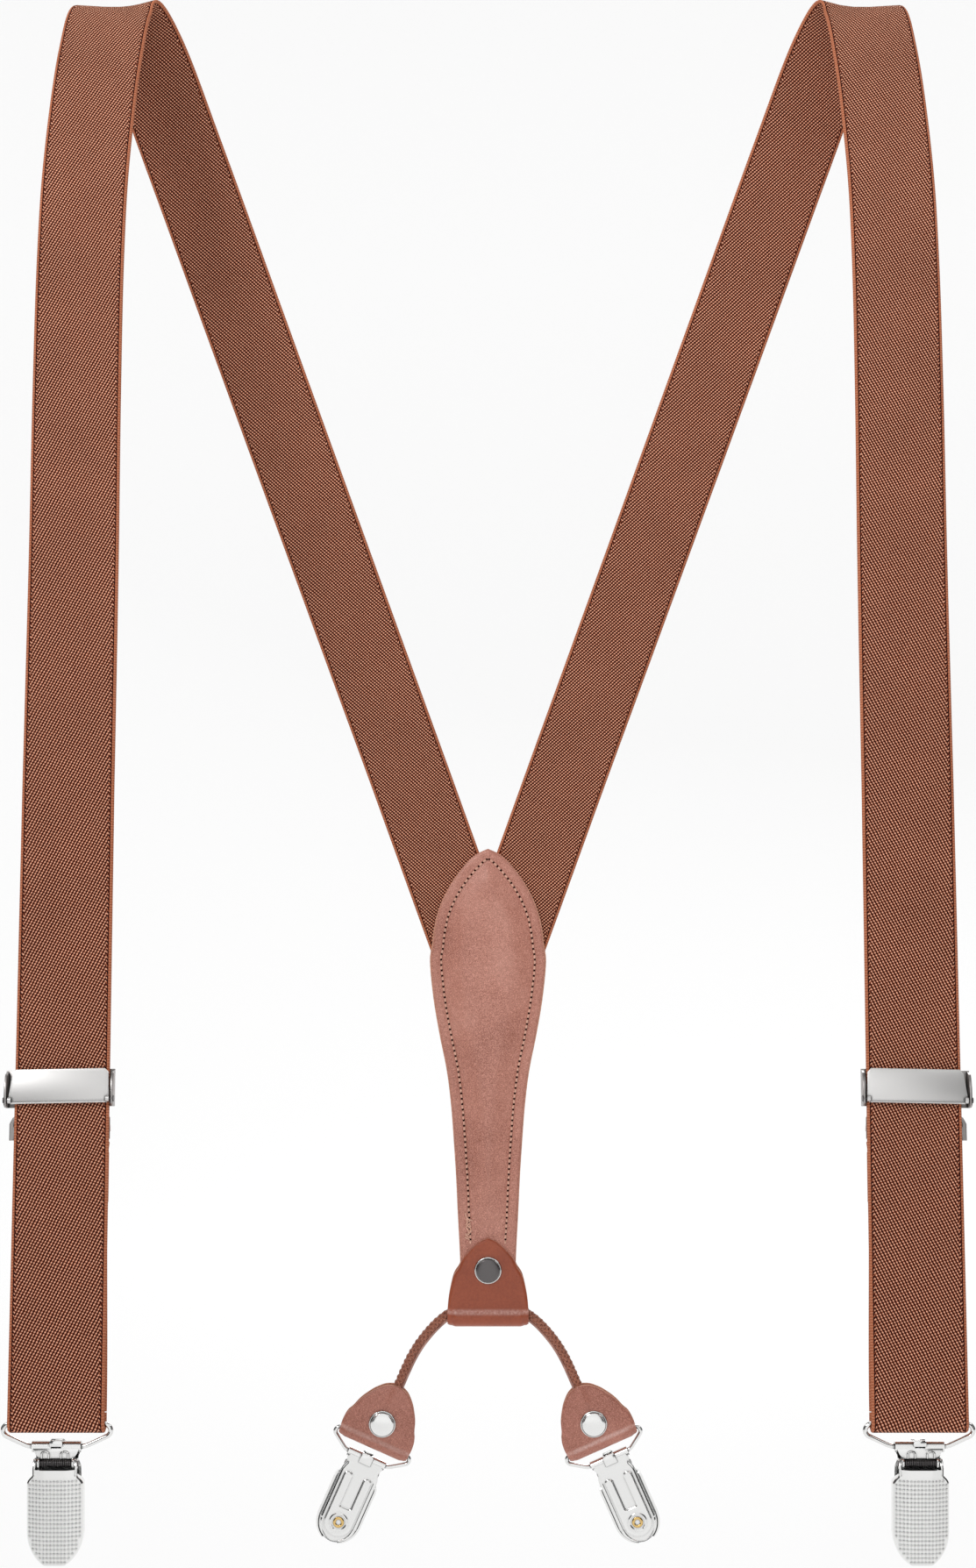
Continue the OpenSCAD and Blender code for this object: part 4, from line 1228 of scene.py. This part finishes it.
# ---------- Adjusters ----------

COVER_W, COVER_H = WEB_W + 2.1, 10.8
COVER_FRONT_Y = -LAYER_Y - WEB_T / 2 - 1.8
COVER_BOTTOM = ADJUSTER_H + 8.7
EAR_IN_X = COVER_W / 2 + 0.35
FRAME_PLATE_Y = -LAYER_Y + WEB_T / 2 + 0.3
BAR_H, BAR_T = 4.5, 1.2
BAR_Y = LAYER_Y + WEB_T / 2 + 0.4
BUCKLE_OUT_X, BUCKLE_IN_X = -16.8, 15.1
STRUT_X, STRUT_W = 11.0, 2.4


def frame_slab(outer, inner, y0, y1):
    """A flat frame between an outer and an inner loop that have the same number of corners."""
    bevel = 0.2
    rings = [(inset(outer, bevel), y0), (np.array(outer), y0 + bevel), (np.array(outer), y1 - bevel),
             (inset(outer, bevel), y1), (inset(inner, -bevel), y1), (np.array(inner), y1 - bevel),
             (np.array(inner), y0 + bevel), (inset(inner, -bevel), y0)]
    v = np.concatenate([np.stack([r[:, 0], np.full(len(r), y), r[:, 1]], 1)
                        for r, y in rings + rings[:1]])
    return v, grid_faces(len(rings) + 1, len(outer), wrap=True)


def build_cover(side):
    half, top, low = COVER_W / 2, COVER_BOTTOM + COVER_H, COVER_BOTTOM
    loop = [(-half, low + 0.9), (-half + 0.9, low), (half - 0.9, low), (half, low + 0.9),
            (half - 0.3, top - 1.3), (half - 1.5, top), (-half + 2.6, top), (-half + 1.4, top - 1.3)]
    cover = Shape(on_adjuster).add(*bevelled_slab(loop, COVER_FRONT_Y, COVER_FRONT_Y + SHEET_T, 0.25))
    for s in (-1, 1):
        knuckle = np.array([(s * (half - 1.1), 0, 0), (s * (half - 0.1), 0, 0)], float)
        cover.add(*tube(knuckle + [0, COVER_FRONT_Y + 0.4, low + 1.2], 1.0, 16))
    lip = np.array([(-half + 1.2, 0, 0), (0, 0, 0), (half - 1.2, 0, 0)], float)
    cover.add(*tube(lip + [0, COVER_FRONT_Y + 0.1, low + 0.25], 0.3, 8))
    make_piece(f"{side}_adjuster_cover_plate", cover, SATIN, f"{side}_cover", side,
               (f"{side}_adjuster_cover",), sharp=30)


def build_adjuster_frame(side):
    """The plate behind the webbing, its ears, and the buckle with the bar that holds the tail's eye."""
    metal = Shape(on_adjuster)
    plate_z, plate_top = COVER_BOTTOM - 1, COVER_BOTTOM + COVER_H
    reach = EAR_IN_X + SHEET_T
    plate = [(-reach, plate_z), (reach, plate_z), (reach, plate_top), (-reach, plate_top)]
    back = FRAME_PLATE_Y + SHEET_T
    metal.add(*bevelled_slab(plate, FRAME_PLATE_Y, back, 0.15))
    front = COVER_FRONT_Y - 0.3
    ear = [(back, plate_top), (back, plate_z), (COVER_FRONT_Y + 1, plate_z),
           (front + 0.2, plate_z + 0.6), (front, plate_z + 1.6), (front, plate_z + 6),
           (front + 0.5, plate_z + 8.4), (front + 1.6, plate_z + 10.4)]
    buckle_top = ADJUSTER_H + BAR_H / 2 + 4.05
    strut = [(FRAME_PLATE_Y, plate_z + 1.3), (back, plate_z + 1.7), (back + 0.9, plate_z + 0.5),
             (BAR_Y + BAR_T, buckle_top + 0.4), (BAR_Y + BAR_T, buckle_top - 1), (BAR_Y, buckle_top - 1),
             (BAR_Y, buckle_top - 0.4), (back - 0.3, plate_z - 0.5), (FRAME_PLATE_Y, plate_z + 0.1)]
    for s in (-1, 1):
        metal.add(*side_slab(ear, s * (EAR_IN_X + SHEET_T / 2), SHEET_T, 0.12))
        metal.add(*side_slab(strut, s * STRUT_X, STRUT_W, 0.2))
    low, bar_top = ADJUSTER_H - BAR_H / 2, ADJUSTER_H + BAR_H / 2
    outer = [(BUCKLE_OUT_X, low), (BUCKLE_IN_X, low), (BUCKLE_IN_X, bar_top + 2.2),
             (BUCKLE_IN_X - 1.2, buckle_top), (BUCKLE_OUT_X + 3.4, buckle_top),
             (BUCKLE_OUT_X + 1, buckle_top - 1.4), (BUCKLE_OUT_X, bar_top + 0.7)]
    inner = [(BUCKLE_OUT_X + 1.5, bar_top), (BUCKLE_IN_X - 0.9, bar_top),
             (BUCKLE_IN_X - 0.9, bar_top + 1.5), (BUCKLE_IN_X - 1.7, bar_top + 2.25),
             (BUCKLE_OUT_X + 4, bar_top + 2.25),
             (BUCKLE_OUT_X + 2.2, bar_top + 1.7), (BUCKLE_OUT_X + 1.6, bar_top + 0.9)]
    metal.add(*frame_slab(outer, inner, BAR_Y, BAR_Y + BAR_T))
    make_piece(f"{side}_adjuster_frame_metal", metal, FRAME_METAL, f"{side}_adjuster", side,
               (f"{side}_adjuster_frame",), sharp=30)


for side in SIDES:
    build_cover(side)
    build_adjuster_frame(side)


# ---------- CAD nodes that stay: pins, posts and the hidden stiffener ----------

NODE_FINISHES = {"_pivot_pin": DARK_NICKEL_AND_PAINTED_REFLECTION, "_adjuster_pins": DARK_NICKEL_AND_PAINTED_REFLECTION, "yoke_rivet_post": DARK_NICKEL_AND_PAINTED_REFLECTION,
                 "_tab_rivet_post": NICKEL, "yoke_stiffener": CUT_EDGE}
for node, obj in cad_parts.items():
    for ending, material in NODE_FINISHES.items():
        if node.endswith(ending):
            obj.data.materials.clear()
            obj.data.materials.append(material)


# ---------- Studio, in metres ----------

OBJECT_MIDDLE = (0, 0, -0.3)


def studio_bowl():
    """A pale floor that curves up into a wall all round, so that every view has the same ground."""
    floor_z, radius, curve_r, wall = -0.72, 2.6, 1.2, 2.6
    profile = [(0.0, floor_z), (0.6, floor_z)]
    profile += [(radius - curve_r + curve_r * math.sin(a), floor_z + curve_r - curve_r * math.cos(a))
                for a in np.linspace(0, math.pi / 2, 24)]
    profile += [(radius, wall)]
    steps = 96
    v = [(x, y, z) for x, z, y in turned(profile[1:], steps)]
    faces = grid_faces(len(profile) - 1, steps, wrap=True) + [tuple(range(steps - 1, -1, -1))]
    mesh = bpy.data.meshes.new("studio_floor")
    mesh.from_pydata(v, [], faces)
    mesh.shade_smooth()
    white = Nodes("studio_white", Roughness=0.9, Base_Color=(0.3, 0.3, 0.3), Emission_Color=(1, 1, 1),
                  Emission_Strength=0.72, Specular_IOR_Level=0.0)
    mesh.materials.append(white.material)
    obj = bpy.data.objects.new("studio_floor", mesh)
    bpy.context.scene.collection.objects.link(obj)


def area_light(name, place, width, height, power):
    data = bpy.data.lights.new(name, "AREA")
    data.shape = "RECTANGLE"
    data.size, data.size_y = width, height
    data.energy = power
    obj = bpy.data.objects.new(name, data)
    obj.location = place
    direction = Vector(OBJECT_MIDDLE) - Vector(place)
    obj.rotation_euler = direction.to_track_quat("-Z", "Y").to_euler()
    obj.visible_camera = False
    bpy.context.scene.collection.objects.link(obj)


def flag(name, a, b, grey):
    """A dark card standing between two floor points; it gives bright metal its outlines and facets."""
    low, high = -0.68, 0.2
    mesh = bpy.data.meshes.new(name)
    mesh.from_pydata([(*a, low), (*b, low), (*b, high), (*a, high)], [], [(0, 1, 2, 3)])
    mesh.materials.append(Nodes(name, Roughness=1.0, Base_Color=(grey, grey, grey)).material)
    obj = bpy.data.objects.new(name, mesh)
    obj.visible_camera = False
    bpy.context.scene.collection.objects.link(obj)


studio_bowl()
flag("flag_left", (-1.15, -0.55), (-1.15, 1.0), 0.01)
flag("flag_right", (1.15, -0.55), (1.15, 1.0), 0.01)
flag("flag_front_left", (-1.1, -0.7), (-0.42, -1.1), 0.04)
flag("flag_front_right", (1.1, -0.7), (0.42, -1.1), 0.04)
area_light("key", (-1.1, -1.5, 0.75), 0.8, 0.8, 18)
area_light("fill", (1.3, -1.3, 0.1), 1.0, 1.4, 4)
area_light("back", (0.5, 1.6, 0.8), 1.0, 0.8, 12)
area_light("top", (0, 0, 1.5), 1.0, 1.0, 4)

world = bpy.data.worlds.new("world")
bpy.context.scene.world = world
world.use_nodes = True
world.node_tree.nodes["Background"].inputs[0].default_value = (1, 1, 1, 1)
world.node_tree.nodes["Background"].inputs[1].default_value = 0.12
bpy.context.scene.view_settings.view_transform = "Standard"
